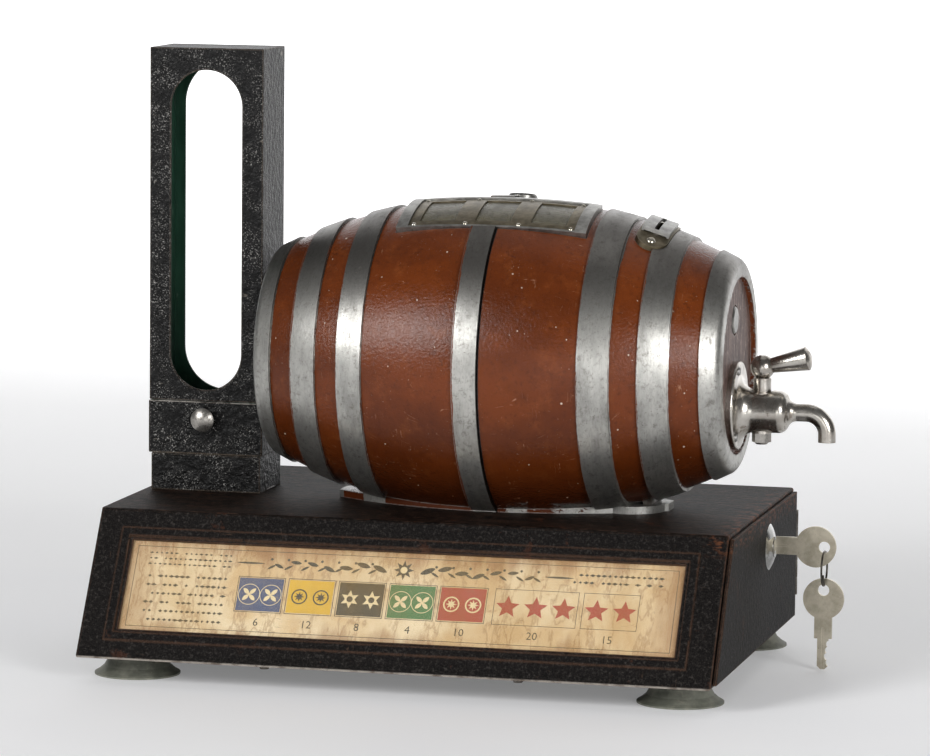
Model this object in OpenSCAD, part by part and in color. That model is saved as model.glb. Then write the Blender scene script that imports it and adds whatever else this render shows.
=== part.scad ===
/* [Base box] */
// Width of the sheet metal base
base_w = 343; // [330:1:360]
// Depth of the base along its bottom edge
base_d = 238; // [230:1:250]
// Height of the base box without its feet
base_h = 74; // [70:1:80]
// How far the front panel leans out towards its bottom edge
front_jut = 46; // [38:1:54]
// Thickness of the sheet metal
sheet_t = 1.2; // [0.8:0.1:1.6]
// Width of the flange turned in under the base
flange_w = 8.5; // [7:0.5:9]

/* [Feet] */
// Height of the suction feet below the base
foot_h = 13.5; // [12:0.5:18]
// Radius of a suction foot's lip
foot_r = 23; // [19:0.5:26]
// Distance of each foot's centre from the base's ends
foot_inset = 23; // [23:1:34]

/* [Award card] */
// Distance of the window from each end of the base
card_margin = 21; // [19.5:0.5:31.5]
// Height of the window, measured up the slope
card_h = 51.5; // [44:0.5:54]
// Raised border pressed round the window
bead_w = 5; // [3:0.5:6]
// Height of that border
bead_h = 1.0; // [0.6:0.1:1.4]

/* [Side door and lock] */
// Distance of the door's outline from the box's edges
door_inset = 2; // [1.5:0.5:4]
// How far the door pan stands proud of the box
door_proud = 2.5; // [2.4:0.1:3.5]
// Depth of the lock's centre below the base top
lock_drop = 21; // [19:0.5:26]
// Radius of the lock's domed face
lock_face_r = 12.5; // [11.5:0.5:14]
// Radius of the lock plug
plug_r = 5.6; // [5.2:0.1:6.4]
// Radius of the hinge pin
hinge_pin_r = 1.2; // [1:0.1:1.4]

/* [Keys] */
// Radius of a key's bow
bow_r = 11.2; // [10.5:0.1:12]
// Thickness of a key
key_t = 1.9; // [1.6:0.1:2.1]
// Length of a key's cut blade
blade_l = 16.8; // [15:0.2:17.2]
// Radius of the key ring to the middle of its wire
ring_r = 9.3; // [9:0.1:9.8]
// Radius of the key ring's wire
ring_wire_r = 0.55; // [0.4:0.05:0.6]

/* [Barrel] */
// Length of the barrel
barrel_l = 256; // [246:1:262]
// Radius of the barrel at its middle
barrel_mid_r = 86.4; // [84:0.2:88]
// Radius of the barrel at its ends
barrel_end_r = 55; // [53:0.5:58]
// Thickness of the cast wall
barrel_t = 4.2; // [3.4:0.2:5]
// Height of the barrel's axis above the base top
barrel_axis_h = 79.5; // [78:0.5:82]
// Height of the cast hoops above the staves
hoop_h = 1.5; // [1:0.1:2]
// Depth of the recess in front of each head
head_recess = 3; // [2:0.5:5]
// Width of the joint line between the two castings
seam_gap = 0.3; // [0.1:0.1:0.6]

/* [Reel window] */
// Width of the cast bezel
bezel_w = 104; // [100:1:110]
// Angle of the bezel's rear edge, from the top towards the front
bezel_a0 = 1; // [0:0.5:3]
// Angle of the bezel's front edge, from the top towards the front
bezel_a1 = 31; // [30:0.5:34]
// Distance between the reels
reel_pitch = 30.5; // [29:0.5:32]
// Width of each pane
pane_w = 19.5; // [17:0.5:21]

/* [Reels] */
// Gap between the reels and the barrel's wall
reel_room = 4.1; // [3.2:0.1:8]
// Width of a reel
reel_w = 21; // [18:0.5:22]
// Number of stops on a reel
reel_stops = 12; // [8:1:16]
// Radius of the reel shaft
shaft_r = 3; // [2.5:0.1:4]

/* [Coin entry] */
// Place of the coin entry along the barrel, from its middle
coin_x = 85.5; // [83:0.5:87]
// Length of the coin slot
slot_l = 24; // [22:0.5:26]
// Width of the coin slot
slot_w = 2.6; // [2.2:0.1:3.2]

/* [Spigot] */
// Depth of the spigot below the barrel's axis
spigot_drop = 24; // [23:0.5:25]
// Radius of the spigot's round body
spigot_r = 11.5; // [11:0.25:12.5]
// Gap between the flange and the wall of the head's recess
flange_gap = 2; // [1.5:0.1:4]
// Radius of the turning plug
cock_r = 6.5; // [6:0.1:7]
// Radius of the ball over the plug
ball_r = 6.6; // [6:0.1:7]

/* [Pretzel magazine] */
// Width of the magazine
tower_w = 64.5; // [60:0.5:66]
// Depth of the magazine
tower_d = 42; // [40:0.5:46]
// Height of the magazine above the base top
tower_h = 244; // [220:1:260]
// Width of the window through the magazine
tower_win_w = 40.2; // [34:0.2:44]
// How far the rear opening reaches past the front one on each side
rear_more = 4.6; // [0:0.1:5]
// Height of the pedestal under the drawer
pedestal_h = 20.5; // [18:0.5:24]
// Height of the drawer's front
drawer_h = 29.3; // [28:0.1:34]
// Radius of the drawer's knob
knob_r = 6.5; // [5.5:0.1:8]

/* [Clearances] */
// Gap between a shaft and its bore
run_gap = 0.05; // [0.03:0.01:0.08]
// Gap round parts that move past each other
move_gap = 0.4; // [0.3:0.05:0.6]
// Gap round screws in their clearance holes
screw_gap = 0.2; // [0.1:0.05:0.4]

/* [Hidden] */
$fn = 72;

// Screw and rivet sizes that several pieces share
screw_r = 1.6;
stud_r = 2;
rivet_r = 1.5;
pin_r = 1.2;

// Heights above the table
z_base = foot_h;
z_top = foot_h + base_h;

// Reach of the keys past the base's right side sets the overall width
shank_l = 12;
hole_off = 4.8;
lock_dome_h = 3.5;
bow_x = door_proud + lock_dome_h + shank_l + bow_r - 1.4;
hinge_r = hinge_pin_r + 1.4;
hinge_off = hinge_r + 0.3;
overall_w = base_w + bow_x + hole_off + bow_r;
foot_back = 15;
overall_d = base_d + max(hinge_off + hinge_r, foot_r - foot_back);

// Corners of the base
x_left = -overall_w / 2;
x_right = x_left + base_w;
y_front = -overall_d / 2;
y_edge = y_front + front_jut;
y_back = y_front + base_d;

// The front panel's slope
slope_a = atan2(base_h, front_jut);
slope_l = norm([base_h, front_jut]);
slope_shift = sheet_t / sin(slope_a);
card_w = base_w - 2 * card_margin;
card_low = (slope_l - card_h) / 2;
card_t = 0.5;
glass_t = 0.6;

// The barrel's place and its bulge as one arc
barrel_from_left = 203;
barrel_from_edge = 86;
barrel_x = x_left + barrel_from_left;
barrel_y = y_edge + barrel_from_edge;
barrel_z = z_top + barrel_axis_h;
half_l = barrel_l / 2;
bulge = barrel_mid_r - barrel_end_r;
arc_r = (half_l * half_l + bulge * bulge) / (2 * bulge);
seam_x = 3.6;
rim_r = barrel_end_r - 7;
recess_r = rim_r - 0.7;
rim_round = 6;
head_t = 4;
head_x = half_l - head_recess;
cavity_l = 2 * (head_x - head_t);
hoops = [[-half_l, -117.3], [-104, -89.2], [-75.8, -61.6], [-10, seam_x + seam_gap / 2],
    [56, 72.2], [86.6, 102], [117.4, half_l]];
foot_l = 92;
foot_half = 38.5;
foot_t = 4;
foot_arc = (100 * 100 + foot_half * foot_half) / (2 * foot_half);
foot_screw_x = 62;
peg_x = 70;
peg_r = 3;
peg_l = 4;
foot_screw_y = 14;
well_l = 112;
well_w = 35;
// How far a cut runs on past the wall that it goes through
through = 20;

// Reel window
bezel_top_r = barrel_mid_r + 0.9;
bezel_arc = 500;
plate_drop = 1;
plate_arc = bezel_arc - plate_drop;
plate_t = 0.8;
pane_t = 0.6;
plate_w = 2 * (reel_pitch + 15);
rivet_x = [-reel_pitch * 1.41, -reel_pitch * 0.48, reel_pitch * 0.48, reel_pitch * 1.41];
bezel_mid_a = (bezel_a0 + bezel_a1) / 2;
bezel_seat = 2.6;
rivet_angles = [bezel_a0 + 4.4, bezel_a1 - 2.6];

// Coin viewing glass behind the reel window
view_x = 4;
view_a = 10;
view_r = 8;
view_z = barrel_mid_r - 0.8;

// Reels hang a little towards the window
reel_off = 17;
reel_y = barrel_y - reel_off * sin(bezel_mid_a);
reel_z = barrel_z + reel_off * cos(bezel_mid_a);
wall_at_reels = barrel_mid_r - arc_r + sqrt(pow(arc_r - barrel_t, 2) - pow(reel_pitch + reel_w / 2, 2));
reel_r = wall_at_reels - reel_off - reel_room;
star_r = 34;
star_t = 3;
star_x = reel_w / 2 + 1.4;
star_end = star_x + star_t;
frame_x = reel_pitch + reel_w / 2 + star_t + 4;
frame_t = 2;
frame_foot = 12;
rod_r = 2.5;
rod_off = reel_r + 6;
pawl_a = -30;
kick_a = -75;
pawl_rod = [reel_y, reel_z] + rod_off * [cos(pawl_a), sin(pawl_a)];
kick_rod = [reel_y, reel_z] + rod_off * [cos(kick_a), sin(kick_a)];

// The pawls' arms stand square to the rollers' radius, so a roller lifts straight out of its scallop
roller_r = 4;
roller_off = star_r + 1.2;
roller_a = pawl_a + acos(roller_off / rod_off);
roller_at = [reel_y, reel_z] + roller_off * [cos(roller_a), sin(roller_a)];

// Where the kicker's tail lifts the pawls' tail
lift_dir = (kick_rod - pawl_rod) / norm(kick_rod - pawl_rod);
lift_up = [lift_dir[1], -lift_dir[0]];
lift_mid = (kick_rod + pawl_rod) / 2;
lift_r = 3;
lift_gap = 0.3;

// Spigot
spigot_x = barrel_x + head_x;
spigot_z = barrel_z - spigot_drop;
neck_r = 8;
flange_t = 3.8;
flange_up = 2.5;
flange_edge = 1.2;
spigot_flange_r = recess_r - spigot_drop + flange_up - flange_gap;
bell_r = spigot_flange_r - flange_up - flange_edge - 0.2 - spigot_r;
bung_up = 24.5;
bung_r = 7.3;
bung_seat = 0.8;
stem_x = spigot_x + 15.6;
ball_z = spigot_z + 23.7;
handle_tilt = 13;
handle_l = 20;
body_l = 25;
taper_l = 10;
spout_r = 4.8;
spout_x = spigot_x + 39.8;
spout_bend = 11.2;
spout_drop = 4.3;
boss_z = spigot_z - 11.8;

// Push rod, its travel and the arm that it moves
push_r = 2.5;
push_travel = 3.7;
push_turn = 60;
rod_tip = 5.6;
wedge_r = 5;
wedge_x = barrel_x + frame_x + frame_t + 6;
tail_x = wedge_x - 3;
tail_t = 2.4;

// Coin entry
coin_a = 8.6;
coin_slope = asin(coin_x / (arc_r + hoop_h));
coin_r = arc_r + hoop_h;
coin_z = coin_r * cos(coin_slope) - (arc_r - barrel_mid_r);
coin_curve = coin_z / cos(coin_slope);
coin_plate_w = 17.5;
coin_plate_l = 51.6;
coin_screw_a = 14.9;
coin_side = coin_z * sin(coin_a);
strap_w = 15.4;
strap_l = slot_l + 2;
strap_foot = 1.2;
chute_in = 3.4;
chute_t = 0.8;
chute_x = barrel_x + coin_x - 4.2;
chute_room = slot_l + 1;

// Magazine
tower_from_left = 3;
tower_from_edge = 75;
tower_x = x_left + tower_from_left;
tower_y = y_edge + tower_from_edge;
tower_mid = tower_x + tower_w / 2;
tower_top = z_top + tower_h;
drawer_z = z_top + pedestal_h;
column_z = drawer_z + drawer_h + 0.3;
win_low = column_z + 6.2;
win_high = tower_top - 12;
liner_t = 1;
tab_in = 9;
liner_top = tower_top - sheet_t;
lid_gap = 0.3;
lid_pin_y = tower_y + tower_d - sheet_t - 5;
lid_pin_z = tower_top - 3.8;
lid_notch = 9;
drawer_proud = 0.5;

// Door and lock
side_open = 14;
side_rim = 8;
lock_from_edge = 106;
lock_y = y_edge + lock_from_edge;
lock_z = z_top - lock_drop;
door_x = x_right + door_proud;
door_skin = 1.2;
case_r = plug_r + 3.4;
case_l = 14;
cam_l = 16;
hinge_y = y_back + hinge_off;
hinge_x = door_x - hinge_r;
hinge_h = 48;
hinge_z = z_base + (base_h - hinge_h) / 2;
knuckle = hinge_h / 5;
key_up = 1.2;
bow_hole_r = 3.1;
key_hole_x = x_right + bow_x + hole_off;
key_hole_z = lock_z + key_up;
ring_gap = 0.15;
ring_z = key_hole_z - bow_hole_r + ring_wire_r + ring_gap - ring_r;
spare_z = ring_z - ring_r - bow_hole_r + ring_wire_r + ring_gap;
shank_w = 9.6;
blade_w = 6;

// Box between two corners
module span(a, b) {
    translate(a) cube(b - a);
}

// Rounded strip of a width and overall length, standing along Y
module slot2d(w, l) {
    for (s = [-1, 1]) translate([0, s * (l - w) / 2]) circle(d = w);
    square([w, l - w], center = true);
}

// Children drawn with X along the front panel and Y up its slope
module on_front() {
    translate([x_left, y_front, z_base]) rotate([slope_a, 0, 0]) children();
}

// Children drawn round Z, laid along the barrel with angles from the top to the front
module along_barrel() {
    translate([barrel_x, barrel_y, barrel_z]) rotate([180, 0, 0]) rotate([0, 90, 0]) children();
}

// Side outline of the base, drawn as Y and Z
module side2d(inset_front, inset) {
    polygon([
        [y_front + inset_front + inset * front_jut / base_h, z_base + inset],
        [y_back - inset, z_base + inset],
        [y_back - inset, z_top - inset],
        [y_edge + inset_front - inset * front_jut / base_h, z_top - inset]]);
}

// A side outline drawn in Y and Z, thick along X from x0
module plate_x(x0, t) {
    translate([x0, 0, 0]) rotate([90, 0, 90]) linear_extrude(t) children();
}

// Pan or dome headed screw pointing down from z = 0
module screw(l, r = screw_r, head_r = 3, head_h = 1.8) {
    cylinder(r = r, h = l);
    translate([0, 0, -head_h]) difference() {
        cylinder(r1 = head_r * 0.8, r2 = head_r, h = head_h);
        translate([-head_r, -0.4, -1]) cube([2 * head_r, 0.8, 1.8]);
    }
}

function foot_centres() = [for (x = [x_left + foot_inset, x_right - foot_inset])
    for (y = [y_front + 38, y_back - foot_back]) [x, y]];
function bottom_screw_points() = [for (x = [x_left + base_w * 0.3, x_left + base_w * 0.7])
    for (y = [y_front + flange_w * 0.6 + slope_shift, y_back - flange_w * 0.5]) [x, y]];
function frame_screw_points() = [for (sx = [-1, 1]) for (sy = [-1, 1])
    [barrel_x + sx * (frame_x - frame_foot / 2), barrel_y + sy * 9]];
function pedestal_screw_points() = [for (s = [-1, 1])
    [tower_mid + s * (tower_w / 2 - tab_in), tower_y + tower_d / 2]];
function spigot_screw_points() = [for (a = [100, 220, 340])
    [barrel_y, spigot_z + flange_up] + (spigot_flange_r - 3.3) * [sin(a), cos(a)]];
function foot_screw_points() = [for (sx = [-1, 1]) for (sy = [-1, 1])
    [barrel_x + sx * foot_screw_x, barrel_y + sy * foot_screw_y]];

module base_shell() {
    lip = 2 * sheet_t;
    color("#2b2724") difference() {
        union() {
            plate_x(x_left, base_w) side2d(0, 0);
            on_front() translate([base_w / 2, slope_l / 2, 0]) linear_extrude(bead_h) difference() {
                square([card_w + 2 * bead_w + 4, card_h + 2 * bead_w + 4], center = true);
                square([card_w + 4, card_h + 4], center = true);
            }
        }
        plate_x(x_left + sheet_t, base_w - 2 * sheet_t) intersection() {
            side2d(slope_shift, sheet_t);
            translate([y_front, z_base + lip]) square([base_d, base_h]);
        }
        span([x_left + sheet_t + flange_w, y_front + slope_shift + flange_w, z_base - 1],
            [x_right - sheet_t - flange_w, y_back - sheet_t - flange_w, z_base + lip + 1]);
        span([x_left + sheet_t, y_front + slope_shift + 1, z_base - 1],
            [x_right - sheet_t, y_back - sheet_t, z_base + sheet_t]);
        on_front() translate([(base_w - card_w) / 2, card_low, -3 * sheet_t])
            cube([card_w, card_h, 4 * sheet_t + bead_h]);
        plate_x(x_right - 2 * sheet_t, 3 * sheet_t) side2d(side_open, side_rim);
        translate([0, 0, z_top - 2 * sheet_t]) linear_extrude(3 * sheet_t) {
            for (p = foot_screw_points()) translate(p) circle(screw_r + screw_gap);
            for (p = frame_screw_points()) translate(p) circle(screw_r + screw_gap);
            for (p = pedestal_screw_points()) translate(p) circle(screw_r + screw_gap);
            for (s = [-1, 1]) translate([barrel_x + s * peg_x, barrel_y]) circle(peg_r + screw_gap);
            translate([chute_x, barrel_y]) chute_hole2d();
        }
        translate([0, 0, z_base]) linear_extrude(2 * lip)
            for (p = bottom_screw_points()) translate(p) circle(screw_r + run_gap);
    }
}

module bottom_plate() {
    color("#2b2724") difference() {
        span([x_left + sheet_t + 0.3, y_front + slope_shift + 1.3, z_base],
            [x_right - sheet_t - 0.3, y_back - sheet_t - 0.3, z_base + sheet_t]);
        translate([0, 0, z_base - 1]) linear_extrude(sheet_t + 2) {
            for (p = bottom_screw_points()) translate(p) circle(screw_r + screw_gap);
            for (p = foot_centres()) translate(p) circle(stud_r + screw_gap);
        }
    }
}

module bottom_screws() {
    color("#8a857b") for (p = bottom_screw_points()) translate([p[0], p[1], z_base]) screw(2 * sheet_t + 2);
}

// Rubber suction foot: a thick crown over a thin flared lip, hollow below
module suction_feet() {
    color("#4a4f47") for (p = foot_centres()) translate([p[0], p[1], 0]) difference() {
        rotate_extrude() polygon([[0, 4.6], [6, 4.2], [foot_r * 0.6, 2.4], [foot_r - 1.2, 0], [foot_r, 0],
            [foot_r, 0.9], [foot_r * 0.9, 2.2], [foot_r * 0.78, 4.6], [foot_r * 0.7, foot_h * 0.58],
            [foot_r * 0.66, foot_h * 0.8], [foot_r * 0.62, foot_h], [0, foot_h]]);
        translate([0, 0, 6]) cylinder(r = stud_r + run_gap, h = foot_h);
    }
}

module foot_studs() {
    color("#8a857b") for (p = foot_centres()) translate([p[0], p[1], 0]) {
        translate([0, 0, 6.2]) cylinder(r = stud_r, h = foot_h + sheet_t);
        translate([0, 0, z_base + sheet_t]) cylinder(r = 4.2, h = 3.2, $fn = 6);
    }
}

// Card, window and retainer lie behind the front panel, so all are set below its face
module card_layer(top, t, grow) {
    on_front() translate([base_w / 2, slope_l / 2, -top - t]) linear_extrude(t)
        square([card_w + grow, card_h + grow], center = true);
}

module card_window() {
    color("#e8e2c6", 0.5) card_layer(sheet_t, glass_t, 6);
}

module award_card() {
    color("#dcc48c") card_layer(sheet_t + glass_t, card_t, 6);
}

module card_retainer() {
    color("#6d675c") difference() {
        card_layer(sheet_t, glass_t + card_t + 0.8, 14);
        card_layer(sheet_t - 1, glass_t + card_t + 1, 6.3);
        card_layer(sheet_t, glass_t + card_t + 2, -16);
    }
}

module cash_tray() {
    floor_z = z_base + sheet_t;
    tray_w = 120;
    tray_h = 36;
    right = x_right - 30;
    low = [right - tray_w, y_edge + 18, floor_z];
    high = [right, y_back - 24, floor_z + tray_h];
    wall = [1, 1, 1];
    color("#6d675c") difference() {
        span(low, high);
        span(low + wall, high - wall + [0, 0, 3]);
    }
}

// Half section of the barrel, radius along X and the barrel's length along Y
module barrel_profile() {
    difference() {
        union() {
            intersection() {
                translate([barrel_mid_r - arc_r, 0]) circle(arc_r, $fn = 360);
                translate([0, -half_l]) square([2 * barrel_mid_r, barrel_l]);
            }
            for (h = hoops) intersection() {
                translate([barrel_mid_r - arc_r, 0]) circle(arc_r + hoop_h, $fn = 360);
                translate([0, h[0]]) square([2 * barrel_mid_r, h[1] - h[0]]);
            }
        }
        intersection() {
            translate([barrel_mid_r - arc_r, 0]) circle(arc_r - barrel_t, $fn = 360);
            translate([-1, -cavity_l / 2]) square([2 * barrel_mid_r, cavity_l]);
        }
        for (m = [0, 1]) mirror([0, m]) {
            polygon([[-1, head_x], [recess_r, head_x], [rim_r, half_l + 1], [-1, half_l + 1]]);
            rim_corner();
        }
    }
}

// What is cut from the end hoop's corner, so that it runs round into the head's flat rim
module rim_corner() {
    out = [sqrt(pow(arc_r + hoop_h - rim_round, 2) - pow(half_l - rim_round, 2)), half_l - rim_round];
    mid = out - [arc_r - barrel_mid_r, 0];
    difference() {
        polygon([mid, mid + 3 * rim_round * out / norm(out), mid + 3 * rim_round * [1, 1],
            mid + 3 * rim_round * [0, 1]]);
        translate(mid) circle(rim_round, $fn = 180);
    }
}

// Oval foot with a broad lobe towards the spigot
module foot_outline() {
    intersection() {
        translate([0, foot_half - foot_arc]) circle(foot_arc, $fn = 180);
        translate([0, foot_arc - foot_half]) circle(foot_arc, $fn = 180);
        circle(foot_l);
    }
    translate([foot_l - 21, -6]) circle(19);
}

// One casting of the barrel, cut off past x0 along its axis, with the peg that locates it on the base
module barrel_half(x0, side) {
    reach = barrel_l + 2 * barrel_mid_r;
    translate([barrel_x + side * peg_x, barrel_y, z_top - peg_l]) cylinder(r = peg_r, h = peg_l + 2);
    difference() {
        union() {
            along_barrel() rotate_extrude($fn = 120) barrel_profile();
            translate([barrel_x, barrel_y, z_top]) linear_extrude(foot_t) foot_outline();
        }
        translate([x0, barrel_y - reach / 2, z_top - reach / 2]) cube(reach);
        translate([barrel_x - reach / 2, barrel_y - reach / 2, z_top - reach]) cube(reach);
        translate([barrel_x - well_l / 2, barrel_y - well_w / 2, z_top - 1])
            cube([well_l, well_w, barrel_t + 8]);
        translate([barrel_x, barrel_y, z_top - 1]) linear_extrude(6)
            for (p = foot_screw_points()) translate([p[0] - barrel_x, p[1] - barrel_y])
                circle(screw_r + run_gap);
        reel_opening();
        at_view() {
            translate([0, 0, view_z]) cylinder(r = view_r + 0.1, h = 20);
            translate([0, 0, view_z - 20]) cylinder(r = view_r - 2.6, h = 30);
        }
    }
}

// Opening through the staves under the window plate
module reel_opening() {
    along_barrel() {
        rotate([0, 0, bezel_a0 + 4.5]) rotate_extrude(angle = bezel_a1 - bezel_a0 - 7, $fn = 120)
            translate([barrel_mid_r - through, -plate_w / 2 + 2]) square([2 * through, plate_w - 4]);
        rotate([0, 0, bezel_a0 - 0.2]) rotate_extrude(angle = bezel_a1 - bezel_a0 + 0.4, $fn = 120)
            difference() {
                translate([barrel_mid_r - through, -bezel_w / 2 - 0.2]) square([2 * through, bezel_w + 0.4]);
                translate([barrel_mid_r - arc_r, 0]) circle(arc_r - bezel_seat, $fn = 360);
            }
    }
}

module barrel_left_half() {
    color("#7a3b16") barrel_half(barrel_x + seam_x, -1);
}

module barrel_right_half() {
    color("#7a3b16") difference() {
        barrel_half(barrel_x + seam_x + seam_gap - barrel_l - 2 * barrel_mid_r, 1);
        at_coin() coin_seat();
        translate([chute_x, barrel_y, z_top - 1]) linear_extrude(through) chute_hole2d();
        translate([spigot_x - head_t - 1, barrel_y, spigot_z]) rotate([0, 90, 0])
            cylinder(r = neck_r + screw_gap, h = head_t + 2);
        for (p = spigot_screw_points()) translate([spigot_x - head_t - 1, p[0], p[1]])
            rotate([0, 90, 0]) cylinder(r = screw_r + run_gap, h = head_t + 2);
        translate([spigot_x - head_t - 1, barrel_y, barrel_z + bung_up]) rotate([0, 90, 0])
            cylinder(r = 4 + run_gap, h = head_t + 2);
        translate([spigot_x - bung_seat, barrel_y, barrel_z + bung_up]) rotate([0, 90, 0])
            cylinder(r = bung_r + 1.2, h = head_recess);
    }
}

// Children drawn with Z out of the staves at the coin viewing glass
module at_view() {
    translate([barrel_x, barrel_y, barrel_z]) rotate([-view_a, 0, 0]) translate([view_x, 0, 0]) children();
}

// Screws driven up through the base top into the barrel, the reel frame and the pedestal
module top_screws() {
    color("#8a857b") translate([0, 0, z_top - sheet_t]) {
        for (p = foot_screw_points()) translate([p[0], p[1], 0]) screw(sheet_t + 4);
        for (p = frame_screw_points()) translate([p[0], p[1], 0]) screw(sheet_t + 5);
        for (p = pedestal_screw_points()) translate([p[0], p[1], 0]) screw(sheet_t + 5);
    }
}

// Half section of a layer of the reel window, flatter along the barrel than the staves
module window_band(drop, t, w) {
    intersection() {
        translate([bezel_top_r - bezel_arc, 0]) difference() {
            circle(bezel_arc - drop, $fn = 720);
            circle(bezel_arc - drop - t, $fn = 720);
        }
        translate([0, -w / 2]) square([2 * barrel_mid_r, w]);
    }
}

// Children drawn with Z out of the window plate at each rivet
module at_rivets() {
    for (x = rivet_x) for (a = rivet_angles) rotate([0, 0, a]) translate([bezel_top_r - bezel_arc, 0, 0])
        rotate([0, -asin(x / plate_arc), 0]) translate([plate_arc, 0, 0]) rotate([0, 90, 0]) children();
}

module window_bezel() {
    seat_depth = plate_drop + plate_t + pane_t;
    color("#8f8f8c") along_barrel() difference() {
        rotate([0, 0, bezel_a0]) rotate_extrude(angle = bezel_a1 - bezel_a0, $fn = 120) difference() {
            window_band(0, through, bezel_w);
            translate([barrel_mid_r - arc_r, 0]) circle(arc_r - bezel_seat + 0.1, $fn = 360);
        }
        rotate([0, 0, bezel_a0 + 3]) rotate_extrude(angle = bezel_a1 - bezel_a0 - 4, $fn = 120)
            window_band(-through, through + seat_depth, plate_w + 0.4);
        rotate([0, 0, bezel_a0 + 5.6]) rotate_extrude(angle = bezel_a1 - bezel_a0 - 9.4, $fn = 120)
            translate([barrel_mid_r - through, -plate_w / 2 + 2.6]) square([2 * through, plate_w - 5.2]);
        at_rivets() translate([0, 0, -through / 2]) cylinder(r = 0.9 + run_gap, h = through / 2);
    }
}

module window_plate() {
    color("#a79b7a") along_barrel() difference() {
        rotate([0, 0, bezel_a0 + 3.2]) rotate_extrude(angle = bezel_a1 - bezel_a0 - 4.4, $fn = 120)
            window_band(plate_drop, plate_t, plate_w);
        for (k = [-1, 0, 1]) rotate([0, 0, bezel_a0 + 6]) rotate_extrude(angle = bezel_a1 - bezel_a0 - 10.5)
            translate([barrel_mid_r - through, k * reel_pitch - pane_w / 2]) square([2 * through, pane_w]);
        at_rivets() translate([0, 0, -through / 2]) cylinder(r = 0.9 + run_gap, h = through);
    }
}

module window_pane() {
    color("#d8d4ae", 0.5) along_barrel() difference() {
        rotate([0, 0, bezel_a0 + 3.4]) rotate_extrude(angle = bezel_a1 - bezel_a0 - 4.8, $fn = 120)
            window_band(plate_drop + plate_t, pane_t, plate_w - 0.4);
        at_rivets() translate([0, 0, -through / 2]) cylinder(r = 0.9 + run_gap, h = through);
    }
}

module window_rivets() {
    shank = plate_t + pane_t + 0.9;
    color("#c9c4b2") along_barrel() at_rivets() {
        translate([0, 0, -shank]) cylinder(r = 0.9, h = shank);
        intersection() {
            translate([0, 0, 0.9 - rivet_r]) sphere(rivet_r);
            cylinder(r = rivet_r, h = 1);
        }
    }
}

// Children drawn with Z out of the staves at the coin entry and Y round the barrel
module at_coin() {
    translate([barrel_x, barrel_y, barrel_z]) rotate([coin_a, 0, 0])
        translate([0, 0, barrel_mid_r - arc_r]) rotate([0, coin_slope, 0])
            translate([0, 0, coin_r]) children();
}

// Solid round the barrel's curve at the coin entry, with its skin at the given height
module coin_round(h) {
    translate([-30, 0, -coin_curve]) rotate([0, 90, 0]) cylinder(r = coin_curve + h, h = 60, $fn = 120);
}

module coin_plate2d(grow) {
    slot2d(coin_plate_w + 2 * grow, coin_plate_l + 2 * grow);
}

// The two feet of the strap, which stand through the coin plate
module coin_feet() {
    for (s = [-1, 1]) translate([s * (strap_w - strap_foot) / 2, 0, 0])
        cube([strap_foot, strap_l, 2 * through], center = true);
}

// Seat cut in the casting for the coin plate, the slot and the screws
module coin_seat() {
    difference() {
        translate([0, 0, -through]) linear_extrude(2 * through) coin_plate2d(0.15);
        coin_round(-1.9);
    }
    cube([slot_w + 1, slot_l + 1, 2 * through], center = true);
    coin_screw_places() translate([0, 0, -7]) cylinder(r = 1.2 + run_gap, h = 9);
}

module coin_screw_places() {
    for (s = [-1, 1]) translate([0, 0, -coin_curve]) rotate([s * coin_screw_a, 0, 0])
        translate([0, 0, coin_curve]) children();
}

module coin_plate() {
    color("#a79b7a") at_coin() difference() {
        intersection() {
            translate([0, 0, -through]) linear_extrude(2 * through) coin_plate2d(0);
            difference() {
                coin_round(0.9);
                coin_round(-1.8);
            }
        }
        cube([slot_w, slot_l, 2 * through], center = true);
        coin_feet();
        coin_screw_places() translate([0, 0, -7]) cylinder(r = 1.2 + run_gap, h = 12);
    }
}

module coin_strap() {
    color("#9a9a97") at_coin() difference() {
        union() {
            intersection() {
                cube([strap_w, strap_l, 2 * through], center = true);
                difference() {
                    coin_round(3.4);
                    coin_round(1.5);
                }
            }
            intersection() {
                coin_feet();
                difference() {
                    coin_round(3.4);
                    coin_round(-1.8);
                }
            }
        }
        cube([slot_w, slot_l, 2 * through], center = true);
    }
}

module coin_screws() {
    color("#c9c4b2") at_coin() coin_screw_places() {
        translate([0, 0, -6]) cylinder(r = 1.2, h = 7);
        translate([0, 0, 0.9]) intersection() {
            translate([0, 0, -1.6]) sphere(3);
            cylinder(r = 2.6, h = 3);
        }
    }
}

module coin_view_ring() {
    color("#9a9a97") at_view() translate([0, 0, view_z]) rotate_extrude() polygon([
        [view_r - 2.5, 0], [view_r, 0], [view_r, 2.2], [view_r - 0.8, 3.4],
        [view_r - 1.7, 3.4], [view_r - 1.7, 2], [view_r - 2.5, 2]]);
}

module coin_view_glass() {
    color("#d8d4ae", 0.5) at_view() translate([0, 0, view_z + 2]) cylinder(r = view_r - 1.75, h = 0.9);
}

// Hole that the foot of the coin chute passes
module chute_hole2d() {
    square([chute_in + 2 * chute_t + 0.6, chute_room + 2 * chute_t + 0.6], center = true);
}

// Side view of the coin chute, which bends round behind the push rod on its way down
module chute2d(half, more) {
    by = push_r + 1 + chute_t + chute_room / 2;
    path = [[-coin_side, barrel_z + coin_z - 13 + more], [-coin_side, barrel_z + coin_z - 35],
        [by, spigot_z + 8], [by, spigot_z - 6], [0, spigot_z - 38], [0, z_top - 6 - more]];
    translate([barrel_y, 0]) polygon(concat([for (p = path) p + [half, 0]],
        [for (i = [len(path) - 1:-1:0]) path[i] - [half, 0]]));
}

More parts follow.
